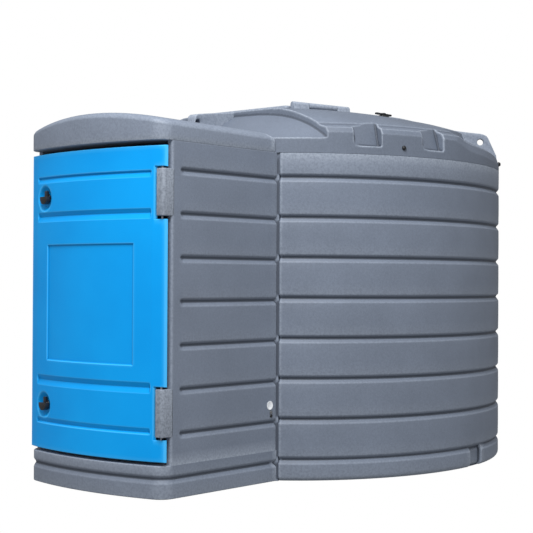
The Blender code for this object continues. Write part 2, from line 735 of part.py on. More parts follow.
def lock_matrix(z):
    slope = 2 * CABINET_BOW * LOCK_X / CABINET_HALF_WIDTH ** 2
    outward = Vector((slope, -1, 0)).normalized()
    sideways = Vector((0, 0, 1)).cross(outward)
    return frame_matrix((LOCK_X, door_front_y(LOCK_X), z), sideways, (0, 0, 1))


def cabinet_door():
    chamfer = DOOR_EDGE_CHAMFER
    levels = [(DOOR_BOTTOM_Z, 0, 0, chamfer), (DOOR_BOTTOM_Z + chamfer, 0, 0, 0)]
    levels += [(DOOR_TOP_Z - chamfer, 0, 0, 0), (DOOR_TOP_Z, 0, 0, chamfer)]
    for low, deep, high, depth in DOOR_GROOVES:
        levels += [(low, 0, 0, 0), (deep, depth, 0, 0), (high, 0, 0, 0)]
    levels += [(PANEL_LOW_Z, 0, 0, 0), (PANEL_LOW_Z + PANEL_STEP, 0, PANEL_DEPTH, 0)]
    levels += [(PANEL_HIGH_Z - PANEL_STEP, 0, PANEL_DEPTH, 0), (PANEL_HIGH_Z, 0, 0, 0)]
    door = loft("cabinet_door", [door_section(*level) for level in sorted(levels)], "blue_door")
    for index, (low, high) in enumerate(HINGE_NOTCHES):
        notch = block(f"hinge_notch_{index}", (HINGE_NOTCH_X, HINGE_NOTCH_FRONT_Y, low),
                      (DOOR_EDGE_HALF_WIDTH + 0.05, HINGE_NOTCH_BACK_Y, high), "blue_door")
        combine(door, as_cutter(notch))
        bore_radius = HINGE_PIN_RADIUS + HINGE_BORE_FIT
        reach = HINGE_PIN_REACH + 0.002
        place = Matrix.Translation((HINGE_X, HINGE_Y, 0))
        bore = turned(f"door_pin_bore_{index}", bore_radius, bore_radius, low - reach, high + reach, 24,
                      "blue_door", place)
        combine(door, as_cutter(bore))
    for index, z in enumerate(LOCK_HEIGHTS):
        place = lock_matrix(z)
        slant = (DISH_RADIUS - DISH_FLOOR_RADIUS) / DISH_DEPTH
        dish = turned(f"dish_{index}", DISH_FLOOR_RADIUS, DISH_RADIUS + slant * 0.02, -DISH_DEPTH, 0.02, 40,
                      "blue_door", place)
        combine(door, as_cutter(dish))
        bore_radius = SHAFT_RADIUS + SHAFT_BORE_FIT
        bore = turned(f"shaft_bore_{index}", bore_radius, bore_radius, -0.06, 0.0, 24, "blue_door", place)
        combine(door, as_cutter(bore))


# A rounded front corner of an outline: a positive radius rounds a left corner, a negative one a right corner
def corner_arc(x, y, radius, start):
    size = abs(radius)
    arc = []
    for index in range(6):
        angle = math.radians(start + 18 * index)
        arc.append((x + radius + size * math.cos(angle), y + size + size * math.sin(angle)))
    return arc


def door_hinges():
    left, front, back = HINGE_X - HINGE_LEFT_REACH, HINGE_Y - HINGE_FRONT_REACH, CABINET_MOUTH_Y - GAP
    outline = corner_arc(left, front, HINGE_LEFT_ROUNDING, 180)
    outline += corner_arc(CABINET_HALF_WIDTH, front, -HINGE_RIGHT_ROUNDING, 270)
    outline += [(CABINET_HALF_WIDTH, back), (HINGE_HEEL_X, back), (left, HINGE_HEEL_Y)]
    for (low, high), level in zip(HINGE_BLOCKS, ("lower", "upper")):
        hinge = prism("door_hinge_block_" + level, outline, low, high, "grey_polyethylene")
        place = Matrix.Translation((HINGE_X, HINGE_Y, 0))
        bore_radius = HINGE_PIN_RADIUS + HINGE_BORE_FIT
        bore = turned("block_bore_" + level, bore_radius, bore_radius, low - 0.01, high + 0.01, 24,
                      "grey_polyethylene", place)
        combine(hinge, as_cutter(bore))
    for (low, high), level in zip(HINGE_NOTCHES, ("lower", "upper")):
        place = Matrix.Translation((HINGE_X, HINGE_Y, 0))
        turned("door_hinge_pin_" + level, HINGE_PIN_RADIUS, HINGE_PIN_RADIUS, low - HINGE_PIN_REACH,
               high + HINGE_PIN_REACH, 24, "zinc_steel", place)


def door_locks():
    floor = -DISH_DEPTH + GAP
    cam_back = -DOOR_THICKNESS - CAM_GAP - CAM_THICKNESS
    # The wing is flat at its top and round below
    outline = [(KNOB_WING_HALF_LENGTH, KNOB_WING_TOP), (-KNOB_WING_HALF_LENGTH, KNOB_WING_TOP)]
    for index in range(11):
        angle = math.radians(190 + 16 * index)
        outline.append((KNOB_WING_HALF_LENGTH * math.cos(angle), KNOB_WING_DROP * math.sin(angle)))
    for z, level in zip(LOCK_HEIGHTS, ("lower", "upper")):
        place = lock_matrix(z)
        knob = turned("lock_knob_" + level, KNOB_RADIUS, KNOB_RADIUS * 0.9, floor, -KNOB_TOP_DEPTH, 32,
                      "black_plastic", place)
        wing = prism("wing_" + level, outline, -KNOB_WING_BACK, KNOB_PROUD, "black_plastic", place)
        soften(wing, KNOB_WING_ROUNDING)
        stub = block("stub_" + level, (-STUB_HALF_WIDTH, STUB_LOW, floor + 0.002),
                     (STUB_HALF_WIDTH, STUB_HIGH, -STUB_TOP_DEPTH), "black_plastic", place)
        shaft = turned("shaft_" + level, SHAFT_RADIUS, SHAFT_RADIUS, cam_back - SHAFT_TAIL, floor + 0.004, 24,
                       "black_plastic", place)
        for piece in (wing, stub, shaft):
            combine(knob, as_cutter(piece), "UNION")
        low = (-CAM_LENGTH + CAM_WIDTH / 2, -CAM_WIDTH / 2, cam_back)
        high = (CAM_WIDTH / 2, CAM_WIDTH / 2, cam_back + CAM_THICKNESS)
        cam = block("lock_cam_" + level, low, high, "zinc_steel", place)
        hole = turned("cam_hole_" + level, SHAFT_RADIUS + GAP, SHAFT_RADIUS + GAP, -0.08, 0.0, 24,
                      "zinc_steel", place)
        combine(cam, as_cutter(hole))


def hatch_half_width(y):
    return HATCH_HALF_WIDTH - HATCH_TAPER * abs(y - HATCH_WIDEST_Y) ** HATCH_TAPER_POWER


def hatch_outline():
    low = HATCH_FRONT_Y + HATCH_CORNER
    high = HATCH_REAR_Y - HATCH_CORNER
    half = [(0.0, HATCH_FRONT_Y - HATCH_END_BOW), (HATCH_END_HALF_WIDTH, HATCH_FRONT_Y)]
    half.append((hatch_half_width(low) - HATCH_CORNER, HATCH_FRONT_Y + 0.001))
    half.append((hatch_half_width(low) - HATCH_CORNER_CUT, HATCH_FRONT_Y + HATCH_CORNER_CUT + 0.001))
    for index in range(15):
        y = low + (high - low) * index / 14
        half.append((hatch_half_width(y), y))
    half.append((hatch_half_width(high) - HATCH_CORNER_CUT, HATCH_REAR_Y - HATCH_CORNER_CUT))
    half.append((hatch_half_width(high) - HATCH_CORNER, HATCH_REAR_Y))
    half.append((0.0, HATCH_REAR_Y + HATCH_END_BOW))
    return half + mirrored(half)[1:-1]


def inspection_lid():
    outline = hatch_outline()
    middle = (HATCH_FRONT_Y + HATCH_REAR_Y) / 2
    half_length = (HATCH_REAR_Y - HATCH_FRONT_Y) / 2

    def shrunk(inset, z):
        across = 1 - inset / HATCH_HALF_WIDTH
        along = 1 - inset / half_length
        return [(x * across, middle + (y - middle) * along, z) for x, y in outline]

    edge = HATCH_RIM_CHAMFER
    levels = (
        (edge, PLATEAU_Z + GAP), (0.0, PLATEAU_Z + edge), (0.0, HATCH_RIM_TOP_Z - edge),
        (edge, HATCH_RIM_TOP_Z), (HATCH_RIM_WIDTH, HATCH_RIM_TOP_Z), (HATCH_CROWN_INSET, HATCH_CROWN_Z),
    )
    loft("inspection_lid", [shrunk(inset, z) for inset, z in levels], "grey_polyethylene")


def inspection_lid_hinge():
    along = HATCH_HINGE_DIRECTION
    outward = Vector((along.y, -along.x, 0))
    place = frame_matrix(HATCH_HINGE_MIDDLE, outward, (0, 0, 1))
    # Local Z of this frame runs against the hinge direction
    base = PLATEAU_Z + GAP - HATCH_HINGE_MIDDLE.z
    radius = HATCH_KNUCKLE_RADIUS
    arc = [(radius * math.cos(math.radians(a)), radius * math.sin(math.radians(a))) for a in range(0, 181, 20)]
    foot = radius + HATCH_HINGE_FOOT
    block_outline = arc + [(-radius, base), (foot, base)]
    turns = [math.radians(degrees) for degrees in range(-150, 151, 20)]
    full = [(radius * math.cos(turn), radius * math.sin(turn)) for turn in turns]
    leaf_low = HATCH_RIM_TOP_Z + GAP - HATCH_HINGE_MIDDLE.z
    leaf_high = leaf_low + HATCH_LEAF_THICKNESS
    leaf_outline = full + [
        (-foot, leaf_high), (-HATCH_LEAF_REACH, leaf_high),
        (-HATCH_LEAF_REACH, leaf_low), (-radius - 0.003, leaf_low),
    ]
    names = ("inspection_hinge_block_front", "inspection_lid_leaf", "inspection_hinge_block_rear")
    outlines = (block_outline, leaf_outline, block_outline)
    bore_radius = HATCH_PIN_RADIUS + HATCH_BORE_FIT
    for name, outline, (start, end) in zip(names, outlines, HATCH_KNUCKLES):
        piece = prism(name, outline, -end, -start, "grey_polyethylene", place)
        bore = turned(name + "_bore", bore_radius, bore_radius, -0.25, 0.25, 24, "grey_polyethylene", place)
        combine(piece, as_cutter(bore))
    half = HATCH_PIN_HALF_LENGTH
    turned("inspection_hinge_pin", HATCH_PIN_RADIUS, HATCH_PIN_RADIUS, -half, half, 24, "zinc_steel", place)


def rubber_latch(clearance):
    half = LATCH_BAR_LENGTH / 2
    foot_x, foot_y = LATCH_FOOT_HALF_WIDTH, LATCH_FOOT_HALF_LENGTH
    latch = block("rubber_latch", (LATCH_X - foot_x, LATCH_Y - foot_y, LATCH_FOOT_LOW_Z),
                  (LATCH_X + foot_x, LATCH_Y + foot_y, LATCH_FOOT_TOP_Z), "black_rubber")
    bar = block("latch_bar", (LATCH_X - LATCH_BAR_HALF_WIDTH, LATCH_Y - half, LATCH_BAR_LOW_Z),
                (LATCH_X + LATCH_BAR_HALF_WIDTH, LATCH_Y + half, LATCH_BAR_TOP_Z), "black_rubber")
    soften(bar, LATCH_BAR_ROUNDING)
    combine(latch, as_cutter(bar), "UNION")
    combine(latch, clearance)


clear_scene()
partCollection = make_collection("vertical_storage_tank")
cutterCollection = make_collection("cutters")
tank_body()
tank_roof()
roofClearance = lifting_lugs()
cabinet_base()
cabinet_side("cabinet_side_right", 1)
cabinet_side("cabinet_side_left", -1)
cabinet_lid()
cabinet_door()
door_hinges()
door_locks()
inspection_lid()
inspection_lid_hinge()
rubber_latch(roofClearance)
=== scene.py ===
import math

import bmesh
import bpy
from mathutils import Matrix, Vector


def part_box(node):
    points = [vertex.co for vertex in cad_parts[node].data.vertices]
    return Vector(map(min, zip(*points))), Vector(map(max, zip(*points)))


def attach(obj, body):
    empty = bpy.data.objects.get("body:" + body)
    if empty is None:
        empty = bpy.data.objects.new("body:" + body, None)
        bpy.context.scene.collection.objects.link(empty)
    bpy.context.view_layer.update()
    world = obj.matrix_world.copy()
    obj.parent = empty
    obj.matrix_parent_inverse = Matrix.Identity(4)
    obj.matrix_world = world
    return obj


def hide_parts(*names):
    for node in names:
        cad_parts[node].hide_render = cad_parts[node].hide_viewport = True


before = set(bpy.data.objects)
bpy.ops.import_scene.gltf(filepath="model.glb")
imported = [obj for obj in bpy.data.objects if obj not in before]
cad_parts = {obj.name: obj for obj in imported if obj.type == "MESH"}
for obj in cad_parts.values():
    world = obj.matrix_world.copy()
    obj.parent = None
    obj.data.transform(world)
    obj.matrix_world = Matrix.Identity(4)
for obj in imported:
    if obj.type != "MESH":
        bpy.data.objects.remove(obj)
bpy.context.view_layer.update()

# sizes that several pieces share, read from the frame
roofLow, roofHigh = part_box("tank_roof")
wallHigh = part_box("tank_wall_right")[1]
baseLow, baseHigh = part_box("cabinet_base")
tankHalfWidth = roofHigh.x
tankHalfLength = (roofHigh.y - roofLow.y) / 2
tankCentreY = (roofHigh.y + roofLow.y) / 2
seamZ = wallHigh.z
cabinetHalfWidth = baseHigh.x
cabinetFrontY = baseLow.y
sillZ = baseHigh.z
cabinetBow = 0.0663      # how far the front falls back at the cabinet's sides
wallSetback = 0.0092     # the plain wall behind the cabinet lies this much further in
touchGap = 0.0003


def smoothStep(low, high, value):
    share = min(max((value - low) / (high - low), 0.0), 1.0)
    return share * share * (3 - 2 * share)


def ovalY(x, grow):
    share = x / (tankHalfWidth + grow)
    return tankCentreY - (tankHalfLength + grow) * math.sqrt(max(0.0, 1 - share * share))


def bowedY(x):
    return cabinetFrontY + cabinetBow * (x / cabinetHalfWidth) ** 2


def facing(origin, axisX, axisY):
    x = Vector(axisX).normalized()
    y = Vector(axisY).normalized()
    matrix = Matrix((x, y, x.cross(y))).transposed().to_4x4()
    matrix.translation = origin
    return matrix


# V grooves round a wall, their corners rounded by averaging over a few millimetres
def grooveCut(z, ribs):
    total = 0.0
    for offset in (-0.0045, -0.003, -0.0015, 0.0, 0.0015, 0.003, 0.0045):
        for index in range(ribs["count"]):
            rise = z + offset - (ribs["topZ"] - index * ribs["pitch"])
            reach = ribs["above"] if rise > 0 else ribs["below"]
            total += max(0.0, 1 - abs(rise) / reach)
    return ribs["depth"] * total / 7


# Heights for a grooved wall: close together at the grooves, far apart between them
def grooveLevels(low, high, ribs, step):
    levels = {low, high}
    for index in range(ribs["count"]):
        deepest = ribs["topZ"] - index * ribs["pitch"]
        z = deepest - ribs["below"] - 0.006
        while z < deepest + ribs["above"] + 0.006:
            levels.add(round(z, 5))
            z += step
        for share in (0.35, 0.65):
            run = ribs["pitch"] - ribs["above"] - ribs["below"]
            levels.add(round(deepest + ribs["above"] + share * run, 5))
    return sorted(z for z in levels if low <= z <= high)


# A skin over rings with equal numbers of points
def skinned(rings, closedRows=False, caps=True):
    columns = len(rings[0])
    rows = len(rings) if closedRows else len(rings) - 1
    bm = bmesh.new()
    bmesh.ops.create_grid(bm, x_segments=columns, y_segments=rows, size=1)
    for vertex in bm.verts:
        column = round((vertex.co.x + 1) / 2 * columns) % columns
        row = round((vertex.co.y + 1) / 2 * rows) % len(rings)
        vertex.co = rings[row][column]
    bmesh.ops.remove_doubles(bm, verts=bm.verts, dist=1e-6)
    if caps and not closedRows:
        rims = [edge for edge in bm.edges if edge.is_boundary]
        bmesh.ops.holes_fill(bm, edges=rims, sides=0)
    bmesh.ops.recalc_face_normals(bm, faces=bm.faces)
    return bm


# A flat outline in local XY, raised along local Z, with its rims rounded
def raisedOutline(outline, low, high, rim=0.0, segments=3, matrix=None):
    bm = bmesh.new()
    bmesh.ops.create_circle(bm, cap_ends=True, segments=len(outline), radius=1)
    bm.verts.ensure_lookup_table()
    for vertex, (x, y) in zip(bm.verts, outline):
        vertex.co = (x, y, low)
    raised = bmesh.ops.extrude_face_region(bm, geom=bm.faces[:])
    for item in raised["geom"]:
        if isinstance(item, bmesh.types.BMVert):
            item.co.z = high
    bmesh.ops.recalc_face_normals(bm, faces=bm.faces)
    if rim:
        rims = [edge for edge in bm.edges if abs(edge.verts[0].co.z - edge.verts[1].co.z) < 1e-6]
        bmesh.ops.bevel(bm, geom=rims, offset=rim, affect="EDGES", segments=segments, profile=0.5,
                        material=-1)
    if matrix is not None:
        bmesh.ops.transform(bm, matrix=matrix, verts=bm.verts)
    return bm


# A profile of (radius, height) turned about local Z
def turnedProfile(profile, sides, matrix=None):
    bm = bmesh.new()
    line = [bm.verts.new((radius, 0, z)) for radius, z in profile]
    edges = [bm.edges.new(pair) for pair in zip(line, line[1:])]
    bmesh.ops.spin(bm, geom=line + edges, axis=(0, 0, 1), cent=(0, 0, 0), angle=math.tau, steps=sides,
                   use_merge=True)
    bmesh.ops.remove_doubles(bm, verts=bm.verts, dist=1e-6)
    bmesh.ops.recalc_face_normals(bm, faces=bm.faces)
    if matrix is not None:
        bmesh.ops.transform(bm, matrix=matrix, verts=bm.verts)
    return bm


def roundedBox(size, centre, rim, matrix=None, segments=3):
    bm = bmesh.new()
    bmesh.ops.create_cube(bm, size=1)
    bmesh.ops.scale(bm, verts=bm.verts, vec=size)
    bmesh.ops.translate(bm, verts=bm.verts, vec=centre)
    bmesh.ops.bevel(bm, geom=bm.edges[:], offset=rim, affect="EDGES", segments=segments, profile=0.5,
                    material=-1)
    if matrix is not None:
        bmesh.ops.transform(bm, matrix=matrix, verts=bm.verts)
    return bm


# Several closed shells in one mesh
def gathered(*shells):
    mesh = bpy.data.meshes.new("gathered")
    whole = bmesh.new()
    for shell in shells:
        shell.to_mesh(mesh)
        shell.free()
        whole.from_mesh(mesh)
    bpy.data.meshes.remove(mesh)
    return whole


def plainObject(name, bm):
    mesh = bpy.data.meshes.new(name)
    bm.to_mesh(mesh)
    bm.free()
    made = bpy.data.objects.new(name, mesh)
    bpy.context.scene.collection.objects.link(made)
    return made


def cutOut(target, cutter):
    modifier = target.modifiers.new(cutter.name, "BOOLEAN")
    modifier.operation = "DIFFERENCE"
    modifier.solver = "EXACT"
    modifier.object = cutter


# The object's mesh with its modifiers worked in, and the shapes that cut it removed
def worked(item, helpers=()):
    bpy.context.view_layer.update()
    mesh = bpy.data.meshes.new_from_object(item.evaluated_get(bpy.context.evaluated_depsgraph_get()))
    bm = bmesh.new()
    bm.from_mesh(mesh)
    for old in (item, *helpers):
        bpy.data.objects.remove(old, do_unlink=True)
    bpy.data.meshes.remove(mesh)
    return bm


gentlestBend = math.radians(3.5)


def bendOf(edge, steepest):
    bend = edge.calc_face_angle_signed(0)
    return bend if gentlestBend < abs(bend) < steepest else 0.0


# How much each point stands on an outer edge (above 0) or in an inner corner (below 0).
# Left out are the slight bends of a curved face, and edges past the steepest angle, such as a hidden rim.
def markEdges(mesh, passes=1, steepestDegrees=180):
    steepest = math.radians(steepestDegrees)
    bm = bmesh.new()
    bm.from_mesh(mesh)
    bm.verts.ensure_lookup_table()
    values = [sum(bendOf(edge, steepest) for edge in vertex.link_edges) for vertex in bm.verts]
    for _ in range(passes):
        values = [
            (values[v.index] + sum(values[e.other_vert(v).index] for e in v.link_edges)) / (1 + len(v.link_edges))
            for v in bm.verts
        ]
    bm.free()
    attribute = mesh.attributes.new("edgeMark", "FLOAT", "POINT")
    attribute.data.foreach_set("value", [min(max(value, -1.0), 1.0) for value in values])


def addPiece(name, bm, finish, body, nodes=(), sharpDegrees=40, passes=1, steepestDegrees=180):
    made = plainObject(name, bm)
    made.data.materials.append(finish)
    made.data.shade_smooth()
    made.data.set_sharp_from_angle(angle=math.radians(sharpDegrees))
    markEdges(made.data, passes, steepestDegrees)
    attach(made, body)
    if nodes:
        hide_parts(*nodes)
    return made


# Materials
class Sheet:
    def __init__(self, name):
        self.finish = bpy.data.materials.new(name)
        self.finish.use_nodes = True
        self.nodes = self.finish.node_tree.nodes
        self.links = self.finish.node_tree.links
        self.shader = self.nodes["Principled BSDF"]
        self.place = self.nodes.new("ShaderNodeTexCoord").outputs["Object"]

    def stretched(self, scale):
        mapping = self.nodes.new("ShaderNodeMapping")
        mapping.inputs["Scale"].default_value = scale
        self.links.new(self.place, mapping.inputs["Vector"])
        return mapping.outputs["Vector"]

    def noise(self, scale, detail=2.0, roughness=0.5, vector=None):
        node = self.nodes.new("ShaderNodeTexNoise")
        node.inputs["Scale"].default_value = scale
        node.inputs["Detail"].default_value = detail
        node.inputs["Roughness"].default_value = roughness
        self.links.new(vector or self.place, node.inputs["Vector"])
        return node.outputs["Fac"]

    def ranged(self, value, fromLow, fromHigh, toLow, toHigh):
        node = self.nodes.new("ShaderNodeMapRange")
        limits = (("From Min", fromLow), ("From Max", fromHigh), ("To Min", toLow), ("To Max", toHigh))
        for name, number in limits:
            node.inputs[name].default_value = number
        self.links.new(value, node.inputs["Value"])
        return node.outputs["Result"]

    def added(self, first, second, operation="ADD"):
        node = self.nodes.new("ShaderNodeMath")
        node.operation = operation
        for socket, value in zip(node.inputs, (first, second)):
            if isinstance(value, (int, float)):
                socket.default_value = value
            else:
                self.links.new(value, socket)
        return node.outputs[0]

    def mixed(self, share, first, second, blend="MIX"):
        node = self.nodes.new("ShaderNodeMix")
        node.data_type = "RGBA"
        node.blend_type = blend
        self.links.new(share, node.inputs[0]) if not isinstance(share, float) else None
        if isinstance(share, float):
            node.inputs[0].default_value = share
        for socket, value in ((node.inputs[6], first), (node.inputs[7], second)):
            if isinstance(value, tuple):
                socket.default_value = (*value, 1.0)
            else:
                self.links.new(value, socket)
        return node.outputs[2]

    def edgeMark(self):
        node = self.nodes.new("ShaderNodeAttribute")
        node.attribute_name = "edgeMark"
        return node.outputs["Fac"]

    def bumped(self, layers):
        normal = None
        for height, strength, distance in layers:
            node = self.nodes.new("ShaderNodeBump")
            node.inputs["Strength"].default_value = strength
            node.inputs["Distance"].default_value = distance
            self.links.new(height, node.inputs["Height"])
            if normal:
                self.links.new(normal, node.inputs["Normal"])
            normal = node.outputs["Normal"]
        self.links.new(normal, self.shader.inputs["Normal"])

    def settle(self, color, roughness):
        self.links.new(color, self.shader.inputs["Base Color"])
        self.links.new(roughness, self.shader.inputs["Roughness"])
        return self.finish


greySettings = {
    "base": (0.130, 0.156, 0.206),
    "dark": (0.092, 0.111, 0.150),
    "light": (0.172, 0.204, 0.262),
    "worn": (0.330, 0.372, 0.440),
    # the colour for inner corners and grooves is painted shade
    "creaseShade": (0.040, 0.049, 0.068),
}


# Speckled matt polyethylene, as it leaves a rotating mould; a tone below 1 darkens the whole copy as painted shade
def greyPolyethylene(name, edges=True, tone=1.0):
    sheet = Sheet(name)
    speckle = sheet.noise(520, 3.0, 0.7)
    blotch = sheet.noise(95, 3.0, 0.6)
    cloud = sheet.noise(3.2, 3.0, 0.55)
    speckled = sheet.ranged(speckle, 0.34, 0.66, 0.0, 1.0)
    color = sheet.mixed(speckled, greySettings["dark"], greySettings["light"])
    color = sheet.mixed(0.42, greySettings["base"], color)
    # tone scales the whole colour: below 1 it is painted shade
    shade = sheet.ranged(blotch, 0.3, 0.7, 0.93 * tone, 1.07 * tone)
    shade = sheet.added(shade, sheet.ranged(cloud, 0.3, 0.7, 0.94, 1.06), "MULTIPLY")
    darker = sheet.nodes.new("ShaderNodeVectorMath")
    darker.operation = "SCALE"
    sheet.links.new(color, darker.inputs[0])
    sheet.links.new(shade, darker.inputs["Scale"])
    color = darker.outputs["Vector"]
    roughness = sheet.ranged(blotch, 0.3, 0.7, 0.50, 0.64)
    if edges:
        mark = sheet.edgeMark()
        patchy = sheet.ranged(blotch, 0.35, 0.6, 0.45, 1.0)
        scuff = sheet.added(sheet.ranged(mark, 0.06, 0.9, 0.0, 0.55), patchy, "MULTIPLY")
        color = sheet.mixed(scuff, color, greySettings["worn"])
        # Inner corners and groove bottoms get the dark crease colour mixed in: painted shade
        color = sheet.mixed(sheet.ranged(mark, -0.04, -0.45, 0.0, 0.8), color, greySettings["creaseShade"])
    sheet.shader.inputs["Specular IOR Level"].default_value = 0.36
    sheet.bumped(((cloud, 0.35, 0.004), (blotch, 0.25, 0.0012), (speckle, 0.30, 0.0006)))
    return sheet.settle(color, roughness)


blueSettings = {
    "base": (0.0005, 0.282, 0.700),
    "deep": (0.0003, 0.245, 0.640),
    "pale": (0.008, 0.410, 0.860),
    "worn": (0.110, 0.560, 0.960),
    # the colour for inner corners and grooves is painted shade
    "creaseShade": (0.0010, 0.090, 0.300),
}


# Glossy moulded plastic of the door
def bluePlastic(name):
    sheet = Sheet(name)
    orange = sheet.noise(70, 2.0, 0.5)
    cloud = sheet.noise(2.4, 3.0, 0.5)
    grain = sheet.noise(600, 2.0, 0.6)
    scratch = sheet.noise(30, 4.0, 0.7, sheet.stretched((1.0, 1.0, 22.0)))
    color = sheet.mixed(sheet.ranged(cloud, 0.32, 0.68, 0.0, 1.0), blueSettings["deep"], blueSettings["base"])
    color = sheet.mixed(sheet.ranged(grain, 0.45, 0.75, 0.0, 0.10), color, blueSettings["pale"])
    mark = sheet.edgeMark()
    color = sheet.mixed(sheet.ranged(mark, 0.08, 0.9, 0.0, 0.5), color, blueSettings["worn"])
    # Inner corners and groove bottoms get the dark crease colour mixed in: painted shade
    color = sheet.mixed(sheet.ranged(mark, -0.08, -0.9, 0.0, 0.5), color, blueSettings["creaseShade"])
    rubbed = sheet.ranged(scratch, 0.35, 0.75, 0.0, 0.10)
    roughness = sheet.added(rubbed, sheet.ranged(cloud, 0.3, 0.7, 0.26, 0.33))
    sheet.shader.inputs["Specular IOR Level"].default_value = 0.12
    sheet.bumped(((cloud, 0.3, 0.006), (orange, 0.12, 0.0010), (grain, 0.10, 0.0002)))
    return sheet.settle(color, roughness)


# Black plastic or rubber, rubbed grey on its edges
def blackMoulded(name, tone, roughLow, roughHigh):
    sheet = Sheet(name)
    grain = sheet.noise(700, 3.0, 0.6)
    blotch = sheet.noise(60, 3.0, 0.6)
    dark = (tone * 0.7, tone * 0.7, tone * 0.75)
    pale = (tone * 1.5, tone * 1.5, tone * 1.6)
    color = sheet.mixed(sheet.ranged(blotch, 0.3, 0.7, 0.0, 1.0), dark, pale)
    color = sheet.mixed(sheet.ranged(sheet.edgeMark(), 0.1, 1.0, 0.0, 0.30), color, (0.06, 0.064, 0.072))
    sheet.bumped(((blotch, 0.2, 0.0008), (grain, 0.25, 0.0003)))
    return sheet.settle(color, sheet.ranged(grain, 0.3, 0.7, roughLow, roughHigh))


# Zinc plated steel, brushed along one axis
def zincSteel(name):
    sheet = Sheet(name)
    brushed = sheet.noise(240, 4.0, 0.6, sheet.stretched((1.0, 1.0, 0.06)))
    spangle = sheet.noise(90, 2.0, 0.5)
    color = sheet.mixed(sheet.ranged(spangle, 0.35, 0.65, 0.0, 1.0), (0.42, 0.43, 0.44), (0.62, 0.63, 0.63))
    sheet.shader.inputs["Metallic"].default_value = 1.0
    sheet.bumped(((brushed, 0.2, 0.0002),))
    return sheet.settle(color, sheet.ranged(brushed, 0.3, 0.7, 0.24, 0.42))


# Painted disc beside the earthing stud
def whiteEnamel(name):
    sheet = Sheet(name)
    blotch = sheet.noise(180, 3.0, 0.6)
    color = sheet.mixed(sheet.ranged(blotch, 0.3, 0.7, 0.0, 1.0), (0.60, 0.63, 0.67), (0.80, 0.82, 0.84))
    color = sheet.mixed(sheet.ranged(sheet.edgeMark(), 0.2, 1.0, 0.0, 0.6), color, (0.42, 0.45, 0.49))
    sheet.bumped(((blotch, 0.15, 0.0003),))
    return sheet.settle(color, sheet.ranged(blotch, 0.3, 0.7, 0.35, 0.5))


grey = greyPolyethylene("greyPolyethylene")
greyPlain = greyPolyethylene("greyPolyethyleneInside", edges=False)
blue = bluePlastic("blueDoorPlastic")
# Darker copies of the same grey are painted shade: the roof slightly, the hinge posts strongly
greyRoofShaded = greyPolyethylene("greyRoofPaintedShade", tone=0.88)
greyPostShaded = greyPolyethylene("greyPostPaintedShade", tone=0.60)
blackPlastic = blackMoulded("blackKnobPlastic", 0.004, 0.24, 0.36)
blackRubber = blackMoulded("blackRubber", 0.007, 0.50, 0.66)
steel = zincSteel("zincSteel")
enamel = whiteEnamel("whiteEnamel")
print("materials made")


# Oval tank wall: one shell round the whole tank, ribbed except behind the cabinet
tankWall = {
    "ribs": {"topZ": 1.482, "pitch": 0.1966, "count": 8, "depth": 0.0166, "above": 0.015, "below": 0.022},
    "thickness": 0.030,
    "ribBulge": 0.0012,
    "creaseX": 0.4755,
    "baseRound": 0.027,
    "seamRound": 0.003,
    "columnDegrees": 2.0,
    "notchY": 0.497, "notchWidth": 0.130, "notchDepth": 0.022, "notchHeight": 0.107, "notchRound": 0.010,
}


def wallAngles():
    crease = math.degrees(math.acos(tankWall["creaseX"] / tankHalfWidth))
    notch = math.degrees(math.asin((tankWall["notchY"] - tankCentreY) / tankHalfLength))
    halfNotch = math.degrees(tankWall["notchWidth"] / 2 / tankHalfLength)
    right = {-90.0, 90.0}
    steps = round(180 / tankWall["columnDegrees"])
    for index in range(steps + 1):
        angle = -90 + index * tankWall["columnDegrees"]
        nearCrease = abs(angle + crease) < 1.4
        nearNotch = abs(abs(angle - notch) - halfNotch) < 1.0
        if not nearCrease and not nearNotch:
            right.add(angle)
    right.update(-crease + offset for offset in (-0.8, -0.25, -0.12, 0.0, 0.12, 0.3, 0.6, 1.0))
    for side in (-1, 1):
        right.update(notch + side * (halfNotch + offset) for offset in (-0.5, -0.3, -0.15, 0.0, 0.15, 0.3, 0.5))
    right = sorted(right)
    return right + [180 - angle for angle in reversed(right) if -90 < angle < 90]


def wallScale(angle, z):
    ribs = tankWall["ribs"]
    crease = -math.degrees(math.acos(tankWall["creaseX"] / tankHalfWidth))
    fromFront = angle if angle <= 90 else 180 - angle
    outside = fromFront - crease
    if outside < -0.2:
        return 1 - 0.010
    cut = grooveCut(z, ribs)
    within = ((ribs["topZ"] + ribs["above"] - z) / ribs["pitch"]) % 1.0
    cut += tankWall["ribBulge"] * (2 * within - 1) ** 2
    cut += 0.0055 * (1 - smoothStep(-0.15, 0.55, outside)) ** 2
    if z < tankWall["baseRound"]:
        share = 1 - z / tankWall["baseRound"]
        cut += tankWall["baseRound"] * (1 - math.sqrt(max(0.0, 1 - share * share)))
    if z > seamZ - tankWall["seamRound"]:
        cut += tankWall["seamRound"] * (z - seamZ + tankWall["seamRound"]) / tankWall["seamRound"]
    return 1 - cut


def wallPoint(angle, z, scale):
    turn = math.radians(angle)
    x = tankHalfWidth * scale * math.cos(turn)
    y = tankCentreY + tankHalfLength * scale * math.sin(turn)
    along = abs(y - tankWall["notchY"])
    half = tankWall["notchWidth"] / 2
    soft = tankWall["notchRound"]
    inNotch = 1 - smoothStep(half - soft / 2, half + soft / 2, along)
    inNotch *= 1 - smoothStep(tankWall["notchHeight"] - soft, tankWall["notchHeight"] + 0.002, z)
    return (x - math.copysign(tankWall["notchDepth"] * inNotch, x), y, z)


